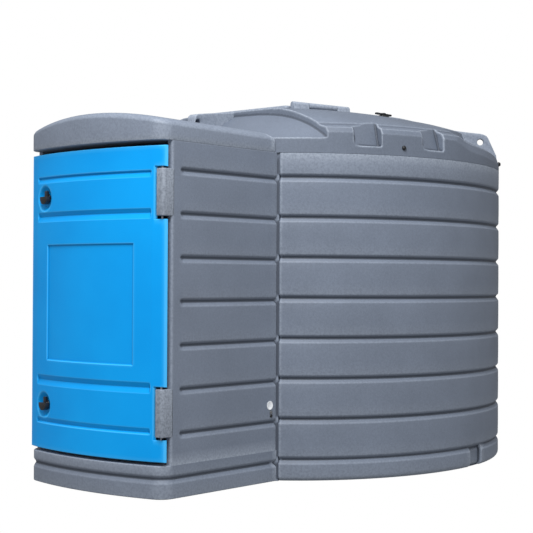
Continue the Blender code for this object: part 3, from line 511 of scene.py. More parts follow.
def buildTankWall():
    angles = wallAngles()
    base = tankWall["baseRound"]
    levels = set(grooveLevels(0.0, seamZ, tankWall["ribs"], 0.003))
    levels.update(base * share for share in (0.06, 0.2, 0.4, 0.65, 1.0))
    levels.update(tankWall["notchHeight"] + offset for offset in (-0.010, -0.007, -0.004, -0.001, 0.002))
    levels.add(seamZ - tankWall["seamRound"])
    rings = [[wallPoint(angle, z, wallScale(angle, z)) for angle in angles] for z in sorted(levels)]
    inner = 1 - tankWall["thickness"]
    for z in (seamZ, 0.8, 0.0):
        ring = []
        for angle in angles:
            turn = math.radians(angle)
            ring.append((tankHalfWidth * inner * math.cos(turn),
                         tankCentreY + tankHalfLength * inner * math.sin(turn), z))
        rings.append(ring)
    walls = ["tank_wall_front"] + [
        f"tank_wall_{side}{part}" for side in ("right", "left") for part in ("_front", "", "_rear")
    ]
    addPiece("tankWall", skinned(rings, closedRows=True), grey, "tank", walls, passes=1)


buildTankWall()
print("tank wall made")

# Roof: stacked ovals given as half width, half length, height and squareness of the front half
roof = {
    "sections": (
        (0.9190, 1.1160, 1.570, 2.0), (0.9196, 1.1165, 1.640, 2.0), (0.9196, 1.1165, 1.705, 2.0),
        (0.9080, 1.1050, 1.730, 2.0), (0.8750, 1.0720, 1.745, 2.0), (0.8650, 1.0600, 1.748, 2.05),
        (0.8600, 1.0550, 1.757, 2.05), (0.7800, 1.0200, 1.783, 2.2), (0.6900, 0.9800, 1.810, 2.35),
        (0.6200, 0.9400, 1.830, 2.5), (0.5500, 0.9000, 1.845, 2.6), (0.5000, 0.8600, 1.850, 2.6),
    ),
    "sides": 180,
    "stepY": -0.4506, "stepHalfWidth": 0.6465,
    "shelfRimZ": 1.673, "shelfRise": 0.150, "shelfSidePower": 3.4, "shelfFallPower": 1.25,
    "recessLowZ": 1.641, "recessTopZ": 1.80,
    "recesses": (((0.726, -0.3406), (0.798, -0.2106), 0.036), ((0.882, 0.0264), (0.909, 0.1764), 0.034)),
    "recessLean": 0.30,           # how far its floor leans in, for each metre up
    "lugDegrees": 31.0,
    # hollow on both sides of each rear lug: degrees round the oval, distances in from the rim
    "hollowDegrees": (-14.0, 56.0), "hollowFull": (6.0, 38.0), "hollowReach": (-0.050, 0.260),
    "hollowRimZ": 1.660, "hollowSlope": 0.48, "hollowClimb": 0.0013, "hollowFade": 0.080,
    "hollowBack": (0.175, 0.235), "hollowBackRise": 0.100, "hollowRimRound": 0.012,
    "grain": 0.0042,
    "softPasses": 3,
    "mostTriangles": 165000,
}


def roofRing(halfWidth, halfLength, z, power):
    ring = []
    for index in range(roof["sides"]):
        turn = math.tau * index / roof["sides"]
        across, along = math.cos(turn), math.sin(turn)
        squared = 2 / power if along < 0 else 1.0
        x = halfWidth * math.copysign(abs(across) ** squared, across)
        y = halfLength * math.copysign(abs(along) ** squared, along)
        ring.append((x, tankCentreY + y, z))
    return ring


def shelfZ(x, y):
    across = min(abs(x) / roof["stepHalfWidth"], 1.0)
    footRise = roof["shelfRise"] * (1 - across ** roof["shelfSidePower"])
    depth = max(roof["stepY"] - ovalY(min(abs(x), roof["stepHalfWidth"]), 0), 0.01)
    forward = min(max((roof["stepY"] - y) / depth, 0.0), 1.0)
    return roof["shelfRimZ"] + footRise * (1 - forward) ** roof["shelfFallPower"]


def shelfCutter():
    bm = bmesh.new()
    bmesh.ops.create_grid(bm, x_segments=70, y_segments=24, size=1)
    for vertex in bm.verts:
        x = vertex.co.x * 0.70
        y = -0.82 + (vertex.co.y + 1) / 2 * (roof["stepY"] + 0.82)
        vertex.co = (x, y, shelfZ(x, y))
    return raisedCutter("shelfCutter", bm)


# A floor raised to above the roof, as a shape to cut with
def raisedCutter(name, bm):
    raised = bmesh.ops.extrude_face_region(bm, geom=bm.faces[:])
    for item in raised["geom"]:
        if isinstance(item, bmesh.types.BMVert):
            item.co.z = 1.95
    bmesh.ops.recalc_face_normals(bm, faces=bm.faces)
    return plainObject(name, bm)


def hollowZ(degrees, inset):
    start, end = roof["hollowDegrees"]
    fullStart, fullEnd = roof["hollowFull"]
    present = smoothStep(start, fullStart, degrees) * (1 - smoothStep(fullEnd, end, degrees))
    climb = roof["hollowClimb"] * max(0.0, roof["lugDegrees"] - degrees)
    back = roof["hollowBackRise"] * smoothStep(*roof["hollowBack"], inset)
    rim = 3.0 * max(0.0, roof["hollowRimRound"] - inset)
    fade = roof["hollowFade"] * (1 - present)
    return roof["hollowRimZ"] + roof["hollowSlope"] * inset + climb + back + fade - rim


def hollowCutter(side):
    near, far = roof["hollowReach"]
    start, end = roof["hollowDegrees"]
    bm = bmesh.new()
    bmesh.ops.create_grid(bm, x_segments=40, y_segments=48, size=1)
    for vertex in bm.verts:
        inset = near + (vertex.co.x + 1) / 2 * (far - near)
        degrees = start + (vertex.co.y + 1) / 2 * (end - start)
        across = tankHalfWidth * math.cos(math.radians(degrees))
        along = tankHalfLength * math.sin(math.radians(degrees))
        share = 1 - inset / math.hypot(across, along)
        vertex.co = (side * across * share, tankCentreY + along * share, hollowZ(degrees, inset))
    return raisedCutter("hollowCutter", bm)


def rearLugPlace(side):
    turn = math.radians(roof["lugDegrees"])
    rim = Vector((tankHalfWidth * math.cos(turn), tankHalfLength * math.sin(turn), 0))
    inward = -rim.normalized()
    rim.x *= side
    inward.x *= side
    rim.y += tankCentreY
    return facing(rim, inward, (0, 0, 1))


def rimNormal(x, y):
    return Vector((x / tankHalfWidth ** 2, (y - tankCentreY) / tankHalfLength ** 2)).normalized()


# Strap recess: nearly flush at its near end, deepest at its far end, its floor leaning in towards the top
def recessCutter(side, near, far, depth):
    outline = []
    for point, out in ((near, 0.002), (near, 0.08), (far, 0.08), (far, -depth)):
        normal = rimNormal(*point)
        outline.append((side * (point[0] + normal.x * out), point[1] + normal.y * out))
    bm = raisedOutline(outline, roof["recessLowZ"], roof["recessTopZ"])
    farNormal = rimNormal(*far)
    for vertex in bm.verts:
        inFloor = min((vertex.co.xy - Vector(outline[index])).length for index in (0, 3)) < 1e-5
        if inFloor:
            lean = roof["recessLean"] * (vertex.co.z - roof["recessLowZ"])
            vertex.co.x -= side * farNormal.x * lean
            vertex.co.y -= farNormal.y * lean
    return plainObject("recessCutter", bm)


def buildRoof():
    bulk = plainObject("roofBulk", skinned([roofRing(*section) for section in roof["sections"]]))
    helpers = [shelfCutter()]
    for side in (1, -1):
        helpers.append(hollowCutter(side))
        helpers += [recessCutter(side, *recess) for recess in roof["recesses"]]
    for helper in helpers:
        cutOut(bulk, helper)
    remesh = bulk.modifiers.new("mouldSkin", "REMESH")
    remesh.mode = "VOXEL"
    remesh.voxel_size = roof["grain"]
    soften = bulk.modifiers.new("mouldRadius", "SMOOTH")
    soften.iterations = roof["softPasses"]
    soften.factor = 0.5
    bm = worked(bulk, helpers)
    everything = bm.verts[:] + bm.edges[:] + bm.faces[:]
    bmesh.ops.bisect_plane(bm, geom=everything, plane_co=(0, 0, seamZ + touchGap), plane_no=(0, 0, 1),
                           clear_inner=True)
    bmesh.ops.holes_fill(bm, edges=[edge for edge in bm.edges if edge.is_boundary], sides=0)
    bmesh.ops.triangulate(bm, faces=bm.faces)
    triangles = len(bm.faces)
    skin = plainObject("roofSkin", bm)
    thin = skin.modifiers.new("thin", "DECIMATE")
    thin.ratio = min(1.0, roof["mostTriangles"] / triangles)
    bm = worked(skin)
    addPiece("roofMoulding", bm, greyRoofShaded, "tank", ("tank_roof",), 60, 1, 70)


buildRoof()
print("roof made")

# Lifting lugs: fins with a hole, outlines as (distance in, height)
lugs = {
    "frontOutline": (
        (-0.742, 1.640), (-0.742, 1.790), (-0.738, 1.802), (-0.726, 1.811), (-0.706, 1.815),
        (-0.633, 1.825), (-0.520, 1.839), (-0.440, 1.8485), (-0.440, 1.640),
    ),
    "frontWidth": 0.055, "frontHole": (-0.716, 1.770), "frontHoleRadius": 0.016,
    "rearOutline": (
        (0.008, 1.640), (0.013, 1.680), (0.046, 1.753), (0.058, 1.779), (0.066, 1.790), (0.080, 1.798),
        (0.102, 1.804), (0.158, 1.810), (0.214, 1.817), (0.275, 1.826), (0.310, 1.829), (0.310, 1.640),
    ),
    "rearWidth": 0.028, "rearHole": (0.102, 1.756), "rearHoleRadius": 0.017,
}


def lugFin(outline, width, hole, radius, rim, matrix):
    fin = plainObject("fin", raisedOutline(outline, -width / 2, width / 2))
    drill = bmesh.new()
    bmesh.ops.create_cone(drill, cap_ends=True, segments=48, radius1=radius, radius2=radius, depth=0.3)
    bmesh.ops.translate(drill, verts=drill.verts, vec=(*hole, 0))
    drill = plainObject("drill", drill)
    cutOut(fin, drill)
    bm = worked(fin, [drill])
    sides = [e for e in bm.edges if len(e.link_faces) == 2 and e.calc_face_angle(0) > math.radians(60)]
    bmesh.ops.bevel(bm, geom=sides, offset=rim, affect="EDGES", segments=4, profile=0.5, material=-1,
                    clamp_overlap=True)
    bmesh.ops.transform(bm, matrix=matrix, verts=bm.verts)
    return bm


def buildLugs():
    upright = facing((0, 0, 0), (0, 1, 0), (0, 0, 1))
    fin = lugFin(lugs["frontOutline"], lugs["frontWidth"], lugs["frontHole"], lugs["frontHoleRadius"], 0.008,
                 upright)
    quarters = tuple("lifting_lug_front_" + side for side in ("top", "base", "nose", "tail"))
    addPiece("liftingLugFront", fin, grey, "tank", quarters, 50)
    for side, name in ((1, "Right"), (-1, "Left")):
        fin = lugFin(lugs["rearOutline"], lugs["rearWidth"], lugs["rearHole"], lugs["rearHoleRadius"], 0.006,
                     rearLugPlace(side))
        addPiece("liftingLug" + name, fin, grey, "tank", ("lifting_lug_" + name.lower(),), 50)


buildLugs()
print("lugs made")

# Cabinet: base under the door and a ribbed side on each hand
cabinet = {
    "ribs": {"topZ": 1.472, "pitch": 0.1972, "count": 8, "depth": 0.013, "above": 0.015, "below": 0.022},
    "cornerRadius": 0.078,
    "wall": 0.030,
    "mouthY": -1.339,
    "mouthRound": 0.010,
    "grooveStartY": -1.294, "grooveFullY": -1.258,
    "tailRound": 0.009,
    "sillRound": 0.006,
    "lidOverhang": 0.0152,
    "lidGapToRoof": 0.010,
    "lidCrownZ": 1.745, "lidCrownFall": 0.050, "lidBackFall": 0.012,
    "lidEdgeInset": 0.045, "lidEdgeDrop": 0.030,
}


# Plan outline of the cabinet: bowed front, round corners, back along the oval
def cabinetOutline(inset, overhang, backGrow):
    halfWidth = cabinetHalfWidth - inset
    radius = cabinet["cornerRadius"] - inset
    bend = 0.24
    for _ in range(8):
        joint = halfWidth - radius + radius * math.sin(bend)
        bend = math.atan(2 * cabinetBow * joint / cabinetHalfWidth ** 2)
    half = [(joint * i / 16, bowedY(joint * i / 16) - overhang + inset) for i in range(17)]
    centreY = bowedY(joint) - overhang + inset + radius * math.cos(bend)
    for i in range(1, 13):
        turn = bend + (math.pi / 2 - bend) * i / 12
        half.append((halfWidth - radius + radius * math.sin(turn), centreY - radius * math.cos(turn)))
    for share in (0.5, 0.85, 0.95, 0.985):
        half.append((halfWidth, centreY + (ovalY(halfWidth, backGrow) - inset - centreY) * share))
    for i in range(25):
        x = halfWidth * (1 - i / 24)
        half.append((x, ovalY(x, backGrow) - inset))
    return half + [(-x, y) for x, y in reversed(half)][1:-1]


def buildCabinetBase():
    back = touchGap - wallSetback
    levels = set(grooveLevels(0.0, sillZ, cabinet["ribs"], 0.003))
    levels.update((0.0015, 0.003, 0.006))
    levels.update(sillZ - cabinet["sillRound"] * share for share in (1.0, 0.6, 0.3, 0.1))
    rings = []
    for z in sorted(levels):
        foot = 0.006 * (1 - math.sqrt(max(0.0, 1 - (1 - min(z / 0.006, 1.0)) ** 2)))
        groove = grooveCut(z, cabinet["ribs"])
        high = max(0.0, (z - sillZ + cabinet["sillRound"]) / cabinet["sillRound"])
        sill = cabinet["sillRound"] * (1 - math.sqrt(max(0.0, 1 - high * high)))
        full = cabinetOutline(groove + foot, 0, back)
        soft = cabinetOutline(groove + foot + sill, 0, back)
        ring = []
        for (x, y), (softX, softY) in zip(full, soft):
            share = 1 - smoothStep(cabinet["mouthY"] - 0.012, cabinet["mouthY"] + 0.004, y)
            ring.append((x + (softX - x) * share, y + (softY - y) * share, z))
        rings.append(ring)
    addPiece("cabinetBase", skinned(rings), grey, "tank", ("cabinet_base",))


def sideOutline(z):
    outer = cabinetHalfWidth
    inner = outer - cabinet["wall"]
    back = touchGap - wallSetback
    mouth = cabinet["mouthY"]
    radius = cabinet["mouthRound"]
    groove = grooveCut(z, cabinet["ribs"])
    points = [(inner, mouth + 0.3), (inner, mouth + 0.004), (inner + 0.0012, mouth + 0.0012),
              (inner + 0.004, mouth)]
    for step in range(7):
        turn = math.radians(90 * step / 6)
        points.append((outer - radius + radius * math.sin(turn), mouth + radius - radius * math.cos(turn)))
    y = mouth + 0.018
    while y < cabinet["grooveFullY"] + 0.012:
        points.append((outer - groove * smoothStep(cabinet["grooveStartY"], cabinet["grooveFullY"], y), y))
        y += 0.004
    grooved = outer - groove
    endY = ovalY(grooved, back)
    tail = cabinet["tailRound"]
    for share in (0.2, 0.4, 0.6, 0.8, 0.93):
        start = cabinet["grooveFullY"] + 0.012
        points.append((grooved, start + (endY - tail - start) * share))
    for step in range(7):
        turn = math.radians(90 * step / 6)
        points.append((grooved - tail + tail * math.cos(turn), endY - tail + tail * math.sin(turn)))
    for share in (0.5, 1.0):
        x = grooved - tail + (inner - grooved + tail) * share
        points.append((x, min(ovalY(x, back), points[-1][1] + 0.02)))
    return points


def buildCabinetSides():
    levels = [z for z in grooveLevels(sillZ, seamZ, cabinet["ribs"], 0.003)]
    levels += [seamZ - 0.003, seamZ - 0.001]
    for side, name in ((1, "Right"), (-1, "Left")):
        rings = []
        for z in sorted(levels):
            rings.append([(side * x, y, z) for x, y in sideOutline(z)])
        node = "cabinet_side_" + name.lower()
        addPiece("cabinetSide" + name, skinned(rings), grey, "tank", (node,))


def lidCrown(x, y):
    return (cabinet["lidCrownZ"] - cabinet["lidCrownFall"] * (abs(x) / cabinetHalfWidth) ** 2
            - cabinet["lidBackFall"] * max(0.0, y + 1.4))


def buildCabinetLid():
    overhang, back = cabinet["lidOverhang"], cabinet["lidGapToRoof"]
    rings = []
    for z, inset in ((0.0, 0.003), (0.0009, 0.0012), (0.003, 0.0), (0.03, 0.0)):
        rings.append([(x, y, seamZ + touchGap + z) for x, y in cabinetOutline(inset, overhang, back)])
    for degrees in range(0, 91, 9):
        turn = math.radians(degrees)
        inset = cabinet["lidEdgeInset"] * (1 - math.cos(turn))
        drop = cabinet["lidEdgeDrop"] * (1 - math.sin(turn))
        outline = cabinetOutline(inset, overhang, back)
        rings.append([(x, y, lidCrown(x, y) - drop) for x, y in outline])
    last = cabinetOutline(cabinet["lidEdgeInset"], overhang, back)
    centreY = -1.08
    for share in (0.9, 0.8, 0.65, 0.5, 0.35, 0.2, 0.08):
        ring = [(x * share, centreY + (y - centreY) * share) for x, y in last]
        rings.append([(x, y, lidCrown(x, y)) for x, y in ring])
    addPiece("cabinetLid", skinned(rings), grey, "tank", ("cabinet_lid",))


buildCabinetBase()
buildCabinetSides()
buildCabinetLid()
print("cabinet made")

# Door: a sheet of close rows and columns pressed into shape, then given its thickness
doorLow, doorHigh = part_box("cabinet_door")
door = {
    "halfWidth": doorHigh.x,
    "lowZ": doorLow.z, "highZ": doorHigh.z,
    "faceHalfWidth": 0.395, "grooveHalfWidth": 0.381, "edgeY": -1.3756,
    "thickness": 0.034, "flangeThickness": 0.016, "coreHalfWidth": 0.380,
    "grooves": ((0.287, 0.297, 0.317, 0.010), (0.470, 0.497, 0.520, 0.012),
                (1.250, 1.278, 1.298, 0.012), (1.436, 1.460, 1.468, 0.010)),
    "panelHalfWidth": 0.298, "panelLowZ": 0.590, "panelHighZ": 1.143, "panelStep": 0.008, "panelDepth": 0.007,
    "notchX": 0.407, "notches": ((0.265, 0.500), (1.248, 1.483)),
    "edgeRound": 0.005,
    "lockX": -0.325, "lockHeights": (0.376, 1.364),
    "dishRadius": 0.067, "dishFloor": 0.036, "dishDepth": 0.022,
}


def closeLines(low, high, coarse, windows, exact):
    lines = {low, high}
    steps = round((high - low) / coarse)
    lines.update(low + (high - low) * i / steps for i in range(steps + 1))
    for start, end, step in windows:
        count = max(1, round((end - start) / step))
        lines.update(start + (end - start) * i / count for i in range(count + 1))
    kept = sorted(set(exact))
    for line in sorted(lines):
        if low <= line <= high and all(abs(line - other) > 0.0011 for other in kept):
            kept.append(line)
    return sorted(kept)


def flatY(x):
    start = bowedY(door["faceHalfWidth"])
    if abs(x) <= door["faceHalfWidth"]:
        return bowedY(x)
    share = (abs(x) - door["faceHalfWidth"]) / (door["halfWidth"] - door["faceHalfWidth"])
    return start + (door["edgeY"] - start) * share


def doorGroove(z):
    for low, deep, high, depth in door["grooves"]:
        if low < z <= deep:
            return depth * (z - low) / (deep - low)
        if deep < z < high:
            return depth * (high - z) / (high - deep)
    return 0.0


def edgeRoll(distance):
    radius = door["edgeRound"]
    if distance >= radius:
        return 0.0
    share = 1 - max(distance, 0.0) / radius
    return radius * (1 - math.sqrt(max(0.0, 1 - share * share)))


def doorSurface(x, z):
    y = (flatY(x - 0.002) + flatY(x) + flatY(x + 0.002)) / 3
    inGroove = 1 - smoothStep(door["grooveHalfWidth"] - 0.002, door["faceHalfWidth"] - 0.002, abs(x))
    y += inGroove * (doorGroove(z - 0.0012) + doorGroove(z) + doorGroove(z + 0.0012)) / 3
    fromPanel = min(door["panelHalfWidth"] - abs(x), z - door["panelLowZ"], door["panelHighZ"] - z)
    y += door["panelDepth"] * smoothStep(0.0, door["panelStep"], fromPanel)
    for lockZ in door["lockHeights"]:
        away = math.hypot((x - door["lockX"]) / 0.99, z - lockZ)
        y += door["dishDepth"] * (1 - smoothStep(door["dishFloor"], door["dishRadius"], away))
    distance = min(door["halfWidth"] - abs(x), z - door["lowZ"], door["highZ"] - z)
    for low, high in door["notches"]:
        if x > door["notchX"] - 0.02:
            outside = max(low - z, z - high)
            beside = door["notchX"] - x
            distance = min(distance, math.hypot(max(outside, 0.0), max(beside, 0.0)))
    return y + edgeRoll(distance)


def doorBack(x):
    start = bowedY(door["faceHalfWidth"])
    if abs(x) >= door["coreHalfWidth"] + 0.01:
        run = Vector((door["halfWidth"] - door["faceHalfWidth"], door["edgeY"] - start)).normalized()
        return flatY(x) + door["flangeThickness"] / run.x
    return bowedY(x) + door["thickness"]


def buildDoor():
    roll = (0.0, 0.0007, 0.002, 0.0035, 0.005)
    half = door["halfWidth"]
    exactX = [side * (half - r) for side in (-1, 1) for r in roll] + [door["notchX"] - r for r in roll]
    exactX += [side * x for side in (-1, 1) for x in (0.380, 0.390)]
    windowsX = [(side * 0.398, side * 0.374, 0.002) for side in (-1, 1)]
    windowsX += [(side * 0.300, side * 0.288, 0.002) for side in (-1, 1)]
    windowsX.append((door["lockX"] - 0.068, door["lockX"] + 0.068, 0.003))
    windowsX = [(min(a, b), max(a, b), step) for a, b, step in windowsX]
    exactZ = [door["lowZ"] + r for r in roll] + [door["highZ"] - r for r in roll]
    for low, high in door["notches"]:
        exactZ += [low - r for r in roll] + [high + r for r in roll]
    windowsZ = [(low - 0.004, high + 0.004, 0.002) for low, _, high, _ in door["grooves"]]
    windowsZ += [(door["panelLowZ"] - 0.002, door["panelLowZ"] + 0.010, 0.002)]
    windowsZ += [(door["panelHighZ"] - 0.010, door["panelHighZ"] + 0.002, 0.002)]
    windowsZ += [(z - 0.068, z + 0.068, 0.003) for z in door["lockHeights"]]
    lineX = closeLines(-half, half, 0.020, windowsX, exactX)
    lineZ = closeLines(door["lowZ"], door["highZ"], 0.024, windowsZ, exactZ)
    bm = bmesh.new()
    bmesh.ops.create_grid(bm, x_segments=len(lineX) - 1, y_segments=len(lineZ) - 1, size=1)
    for vertex in bm.verts:
        x = lineX[round((vertex.co.x + 1) / 2 * (len(lineX) - 1))]
        z = lineZ[round((vertex.co.y + 1) / 2 * (len(lineZ) - 1))]
        vertex.co = (x, doorSurface(x, z), z)
    inNotch = []
    for face in bm.faces:
        middle = face.calc_center_median()
        if middle.x > door["notchX"] and any(low < middle.z < high for low, high in door["notches"]):
            inNotch.append(face)
    bmesh.ops.delete(bm, geom=inNotch, context="FACES")
    raised = bmesh.ops.extrude_face_region(bm, geom=bm.faces[:])
    backPoints = [item for item in raised["geom"] if isinstance(item, bmesh.types.BMVert)]
    for vertex in backPoints:
        vertex.co.y = doorBack(vertex.co.x)
    backSet = set(backPoints)
    backEdges = [edge for edge in bm.edges if edge.verts[0] in backSet and edge.verts[1] in backSet]
    bmesh.ops.dissolve_limit(bm, angle_limit=math.radians(0.6), verts=backPoints, edges=backEdges)
    bmesh.ops.recalc_face_normals(bm, faces=bm.faces)
    addPiece("doorPanel", bm, blue, "door", ("cabinet_door",), 50)


buildDoor()
print("door made")

# Hinge posts, locks
lock = {
    "wingHalfWidth": 0.033, "wingTop": 0.009, "wingDrop": 0.028, "wingProud": 0.010, "wingRim": 0.003,
    "stubWidth": 0.017, "stubHigh": 0.034, "stubMiddle": 0.020,
}


def lockPlace(z):
    slope = 2 * cabinetBow * door["lockX"] / cabinetHalfWidth ** 2
    outward = Vector((slope, -1, 0)).normalized()
    return facing((door["lockX"], bowedY(door["lockX"]), z), Vector((0, 0, 1)).cross(outward), (0, 0, 1))


def buildLocks():
    floor = -door["dishDepth"] + 0.0005
    for z, level in zip(door["lockHeights"], ("lower", "upper")):
        place = lockPlace(z)
        back = floor - 0.023
        boss = turnedProfile(((0.0001, back), (0.006, back), (0.006, floor), (0.0225, floor), (0.0238, floor + 0.0012),
                              (0.0238, floor + 0.005), (0.0225, floor + 0.007), (0.017, floor + 0.008),
                              (0.0155, floor + 0.012), (0.0001, floor + 0.012)), 40, place)
        half = lock["wingHalfWidth"]
        outline = [(half, lock["wingTop"]), (-half, lock["wingTop"])]
        for step in range(21):
            turn = math.radians(185 + 8.5 * step)
            outline.append((half * math.cos(turn), lock["wingDrop"] * math.sin(turn)))
        wing = raisedOutline(outline, floor + 0.008, lock["wingProud"], lock["wingRim"], 3, place)
        stubSize = (lock["stubWidth"], lock["stubHigh"], 0.016)
        stub = roundedBox(stubSize, (0, lock["stubMiddle"], floor + 0.011), 0.0035, place)
        name = level.capitalize()
        addPiece("lockKnob" + name, gathered(boss, wing, stub), blackPlastic, level + "_lock",
                 ("lock_knob_" + level,), 40)
        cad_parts["lock_cam_" + level].data.materials[0] = steel


hinge = {
    "axis": (0.437, -1.374), "blocks": ((0.277, 0.491), (1.262, 1.474)),
    "frontReach": 0.0205, "leftReach": 0.0185, "rim": 0.004,
}


def buildHinges():
    axisX, axisY = hinge["axis"]
    right = cabinetHalfWidth - axisX
    outline = []
    # left corner, flat front, then the round corner to the cabinet's side
    corners = (
        (axisX - hinge["leftReach"] + 0.005, axisY - hinge["frontReach"] + 0.005, 0.005, 180, 270),
        (axisX + right - 0.016, axisY - hinge["frontReach"] + 0.016, 0.016, 270, 360),
    )
    for x, y, radius, start, end in corners:
        for step in range(7):
            turn = math.radians(start + (end - start) * step / 6)
            outline.append((x + radius * math.cos(turn), y + radius * math.sin(turn)))
    mouth = cabinet["mouthY"] + 0.012
    outline += [(axisX + right, mouth), (axisX - 0.004, mouth), (axisX - hinge["leftReach"], axisY + 0.012)]
    for (low, high), level in zip(hinge["blocks"], ("lower", "upper")):
        bm = raisedOutline(outline, low, high, hinge["rim"], 3)
        node = "door_hinge_block_" + level
        addPiece("hingePost" + level.capitalize(), bm, greyPostShaded, "tank", (node,), 50)
        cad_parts["door_hinge_pin_" + level].data.materials[0] = steel


buildLocks()
buildHinges()
print("locks and hinges made")

# Inspection lid on the roof, with its hinge
hatch = {
    "frontY": -0.372, "rearY": 1.030, "widestY": 0.42, "halfWidth": 0.461, "taper": 0.207, "taperPower": 4 / 3,
    "corner": 0.020, "lowZ": 1.8503, "rimTopZ": 1.870, "crownZ": 1.877,
    "hingeMiddle": Vector((0.378, -0.170, 1.874)), "hingeDirection": Vector((0.2251, 0.9743, 0.0)).normalized(),
    "knuckleRadius": 0.016, "knuckles": ((-0.186, -0.0865), (-0.0815, 0.0985), (0.1035, 0.186)),
    "leafReach": 0.075,
}


def knuckleArc(start, end):
    turns = [math.radians(degrees) for degrees in range(start, end, 12)]
    return [(hatch["knuckleRadius"] * math.cos(turn), hatch["knuckleRadius"] * math.sin(turn)) for turn in turns]


def hatchHalfWidth(y):
    return hatch["halfWidth"] - hatch["taper"] * abs(y - hatch["widestY"]) ** hatch["taperPower"]


def hatchOutline():
    corner = hatch["corner"]
    low, high = hatch["frontY"] + corner, hatch["rearY"] - corner
    half = [(0.0, hatch["frontY"]), (0.16, hatch["frontY"])]
    for y, start, end in ((low, 270, 360), (high, 0, 90)):
        x = hatchHalfWidth(y) - corner
        arc = []
        for step in range(7):
            turn = math.radians(start + (end - start) * step / 6)
            arc.append((x + corner * math.cos(turn), y + corner * math.sin(turn)))
        if y == low:
            half += arc
            along = [low + (high - low) * i / 40 for i in range(1, 40)]
            half += [(hatchHalfWidth(y), y) for y in along]
        else:
            half += arc
    half += [(0.16, hatch["rearY"]), (0.0, hatch["rearY"])]
    return half + [(-x, y) for x, y in reversed(half)][1:-1]


def buildHatch():
    outline = hatchOutline()
    middle = (hatch["frontY"] + hatch["rearY"]) / 2
    halfLength = (hatch["rearY"] - hatch["frontY"]) / 2
    rings = []
    top = hatch["rimTopZ"]
    levels = ((0.004, hatch["lowZ"]), (0.0, hatch["lowZ"] + 0.004), (0.0, top - 0.006), (0.0012, top - 0.0025),
              (0.004, top - 0.0006), (0.008, top), (0.080, top), (0.088, top + 0.0004), (0.110, top + 0.0042),
              (0.128, top + 0.0066), (0.145, hatch["crownZ"]), (0.25, hatch["crownZ"]), (0.40, hatch["crownZ"]))
    for inset, z in levels:
        across, along = 1 - inset / hatch["halfWidth"], 1 - inset / halfLength
        rings.append([(x * across, middle + (y - middle) * along, z) for x, y in outline])
    addPiece("inspectionLid", skinned(rings), grey, "roof_lid", ("inspection_lid",))
    along = hatch["hingeDirection"]
    place = facing(hatch["hingeMiddle"], (along.y, -along.x, 0), (0, 0, 1))
    radius = hatch["knuckleRadius"]
    base = hatch["lowZ"] - hatch["hingeMiddle"].z - 0.002
    post = knuckleArc(0, 181)
    post += [(-radius, base), (radius + 0.004, base)]
    leaf = knuckleArc(-150, 151)
    leafLow = hatch["rimTopZ"] - hatch["hingeMiddle"].z - 0.001
    leaf += [(-radius - 0.004, leafLow + 0.009), (-hatch["leafReach"], leafLow + 0.009),
             (-hatch["leafReach"], leafLow), (-radius - 0.003, leafLow)]
    pieces = (("hingePostFront", post, "tank", "inspection_hinge_block_front"),
              ("inspectionLidLeaf", leaf, "roof_lid", "inspection_lid_leaf"),
              ("hingePostRear", post, "tank", "inspection_hinge_block_rear"))
    for (name, outline, body, node), (start, end) in zip(pieces, hatch["knuckles"]):
        bm = raisedOutline(outline, -end, -start, 0.003, 3, place)
        addPiece(name, bm, grey, body, (node,), 50)
    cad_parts["inspection_hinge_pin"].data.materials[0] = steel
    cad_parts["tank_floor"].data.materials[0] = greyPlain


buildHatch()
print("inspection lid made")

# Rubber latch beside the inspection lid
latch = {"x": 0.522, "y": 0.186, "barLength": 0.138, "barZ": 1.861}


def buildLatch():
    x, y = latch["x"], latch["y"]
    half = latch["barLength"] / 2
    foot = roundedBox((0.034, 0.058, 0.018), (x, y, 1.846), 0.005)
    post = turnedProfile(((0.0001, 1.845), (0.012, 1.845), (0.010, 1.850), (0.010, 1.858), (0.013, 1.862),
                          (0.013, 1.866), (0.011, 1.868), (0.0001, 1.868)), 32, Matrix.Translation((x, y, 0)))
    bar = roundedBox((0.018, half * 2 - 0.004, 0.010), (x, y, latch["barZ"]), 0.004)
    knobs = [turnedProfile(((0.0001, -0.006), (0.007, -0.004), (0.009, 0.0), (0.007, 0.004), (0.0001, 0.006)), 24,
                           Matrix.Translation((x, y + side * (half - 0.010), latch["barZ"]))) for side in (-1, 1)]
    addPiece("rubberLatch", gathered(foot, post, bar, *knobs), blackRubber, "tank", ("rubber_latch",))


# Round head bolts on the roof's skirt, and the earthing point on the cabinet's side
fasteners = {
    "bolts": ((0.847, -0.0906), (0.748, 0.9944)), "boltZ": 1.640,
    "boltProfile": ((0.0001, -0.010), (0.0085, -0.010), (0.0125, -0.004), (0.0125, 0.0015), (0.0105, 0.0040),
                    (0.0095, 0.0070), (0.0070, 0.0092), (0.0001, 0.0100)),
    "plateY": -0.661, "plateZ": 0.371, "plateRadius": 0.022,
    "studY": -0.653, "studZ": 0.337, "earthBoltZ": 0.320,
}


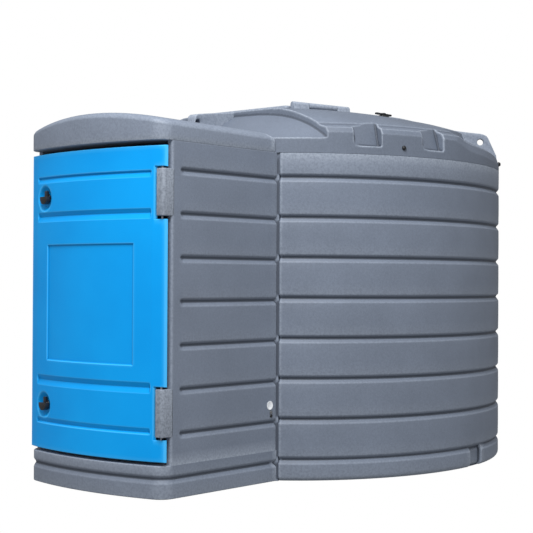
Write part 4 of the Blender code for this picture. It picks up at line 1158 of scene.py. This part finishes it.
def buildFasteners():
    heads = []
    for x, y in fasteners["bolts"]:
        for side in (1, -1):
            out = Vector((x / tankHalfWidth ** 2, (y - tankCentreY) / tankHalfLength ** 2, 0)).normalized()
            rim = Vector((x, y - tankCentreY, 0))
            rim *= 1 / math.hypot(rim.x / tankHalfWidth, rim.y / tankHalfLength)
            origin = Vector((side * rim.x, rim.y + tankCentreY, fasteners["boltZ"]))
            outward = Vector((side * out.x, out.y, 0))
            place = facing(origin, Vector((0, 0, 1)).cross(outward), (0, 0, 1))
            heads.append(turnedProfile(fasteners["boltProfile"], 32, place))
    addPiece("skirtBolts", gathered(*heads), blackPlastic, "tank")
    plate = fasteners["plateRadius"]
    place = facing((cabinetHalfWidth, fasteners["plateY"], fasteners["plateZ"]), (0, 1, 0), (0, 0, 1))
    disc = turnedProfile(((0.0001, -0.002), (plate, -0.002), (plate, 0.0010), (plate - 0.001, 0.0018),
                          (plate - 0.003, 0.0018), (plate - 0.004, 0.0013), (0.0001, 0.0013)), 48, place)
    addPiece("earthingPlate", disc, enamel, "tank")
    for name, z, radius, finish in (("earthingStud", fasteners["studZ"], 0.0095, steel),
                                    ("earthingBolt", fasteners["earthBoltZ"], 0.0080, blackPlastic)):
        place = facing((cabinetHalfWidth, fasteners["studY"], z), (0, 1, 0), (0, 0, 1))
        head = turnedProfile(((0.0001, -0.004), (radius, -0.004), (radius, 0.0035), (radius * 0.85, 0.0050),
                              (radius * 0.5, 0.0056), (0.0001, 0.0058)), 24, place)
        addPiece(name, head, finish, "tank")


buildLatch()
buildFasteners()
print("small parts made")

# Camera at the photograph's angle
cameraSettings = {
    "place": (4.5634, -5.4614, 0.9825),
    "turn": 40.687, "pitch": 0.557, "roll": 0.293, "lens": 88.0, "sensor": 36.0,
}


def buildCamera():
    turn, pitch, roll = (math.radians(cameraSettings[name]) for name in ("turn", "pitch", "roll"))
    right = Vector((math.cos(turn), math.sin(turn), 0))
    ahead = Vector((-math.sin(turn), math.cos(turn), 0))
    forward = ahead * math.cos(pitch) + Vector((0, 0, math.sin(pitch)))
    above = ahead * -math.sin(pitch) + Vector((0, 0, math.cos(pitch)))
    cameraRight = right * math.cos(roll) + above * math.sin(roll)
    cameraUp = above * math.cos(roll) - right * math.sin(roll)
    data = bpy.data.cameras.new("camera")
    data.lens = cameraSettings["lens"]
    data.sensor_width = cameraSettings["sensor"]
    made = bpy.data.objects.new("camera", data)
    matrix = Matrix((cameraRight, cameraUp, -forward)).transposed().to_4x4()
    matrix.translation = cameraSettings["place"]
    made.matrix_world = matrix
    bpy.context.scene.collection.objects.link(made)
    bpy.context.scene.camera = made


# Soft light on a plain white ground
studio = {
    "skyStrength": 1.22,          # overhead
    "groundStrength": 0.28,       # from straight below
    "backdropStrength": 1.0,      # what the camera sees behind the object
    "mirroredStrength": 0.20,     # what glossy surfaces see, apart from the softboxes
    "softboxes": (
        # place, aim, size, power
        ((2.2, -3.2, 5.2), (0.0, -0.3, 1.0), 2.4, 330.0),
    ),
}


def buildStudio():
    world = bpy.data.worlds.new("studio")
    world.use_nodes = True
    nodes, links = world.node_tree.nodes, world.node_tree.links
    direction = nodes.new("ShaderNodeTexCoord").outputs["Generated"]
    height = nodes.new("ShaderNodeSeparateXYZ")
    links.new(direction, height.inputs[0])
    sky = nodes.new("ShaderNodeMapRange")
    for name, number in (("From Min", -0.8), ("From Max", 0.8), ("To Min", studio["groundStrength"]),
                         ("To Max", studio["skyStrength"])):
        sky.inputs[name].default_value = number
    links.new(height.outputs["Z"], sky.inputs["Value"])
    paths = nodes.new("ShaderNodeLightPath")
    strength = sky.outputs["Result"]
    seen = (("Is Glossy Ray", studio["mirroredStrength"]), ("Is Camera Ray", studio["backdropStrength"]))
    for ray, number in seen:
        choice = nodes.new("ShaderNodeMix")
        links.new(paths.outputs[ray], choice.inputs[0])
        links.new(strength, choice.inputs[2])
        choice.inputs[3].default_value = number
        strength = choice.outputs[0]
    links.new(strength, nodes["Background"].inputs["Strength"])
    nodes["Background"].inputs["Color"].default_value = (1.0, 1.0, 1.0, 1.0)
    bpy.context.scene.world = world
    for index, (place, aim, size, power) in enumerate(studio["softboxes"]):
        data = bpy.data.lights.new(f"softbox{index}", "AREA")
        data.shape = "SQUARE"
        data.size = size
        data.energy = power
        made = bpy.data.objects.new(f"softbox{index}", data)
        direction = Vector(aim) - Vector(place)
        turn = direction.to_track_quat("-Z", "Y").to_matrix().to_4x4()
        made.matrix_world = Matrix.Translation(place) @ turn
        bpy.context.scene.collection.objects.link(made)


buildCamera()
buildStudio()
bpy.context.scene.view_settings.view_transform = "Standard"
print("studio made")
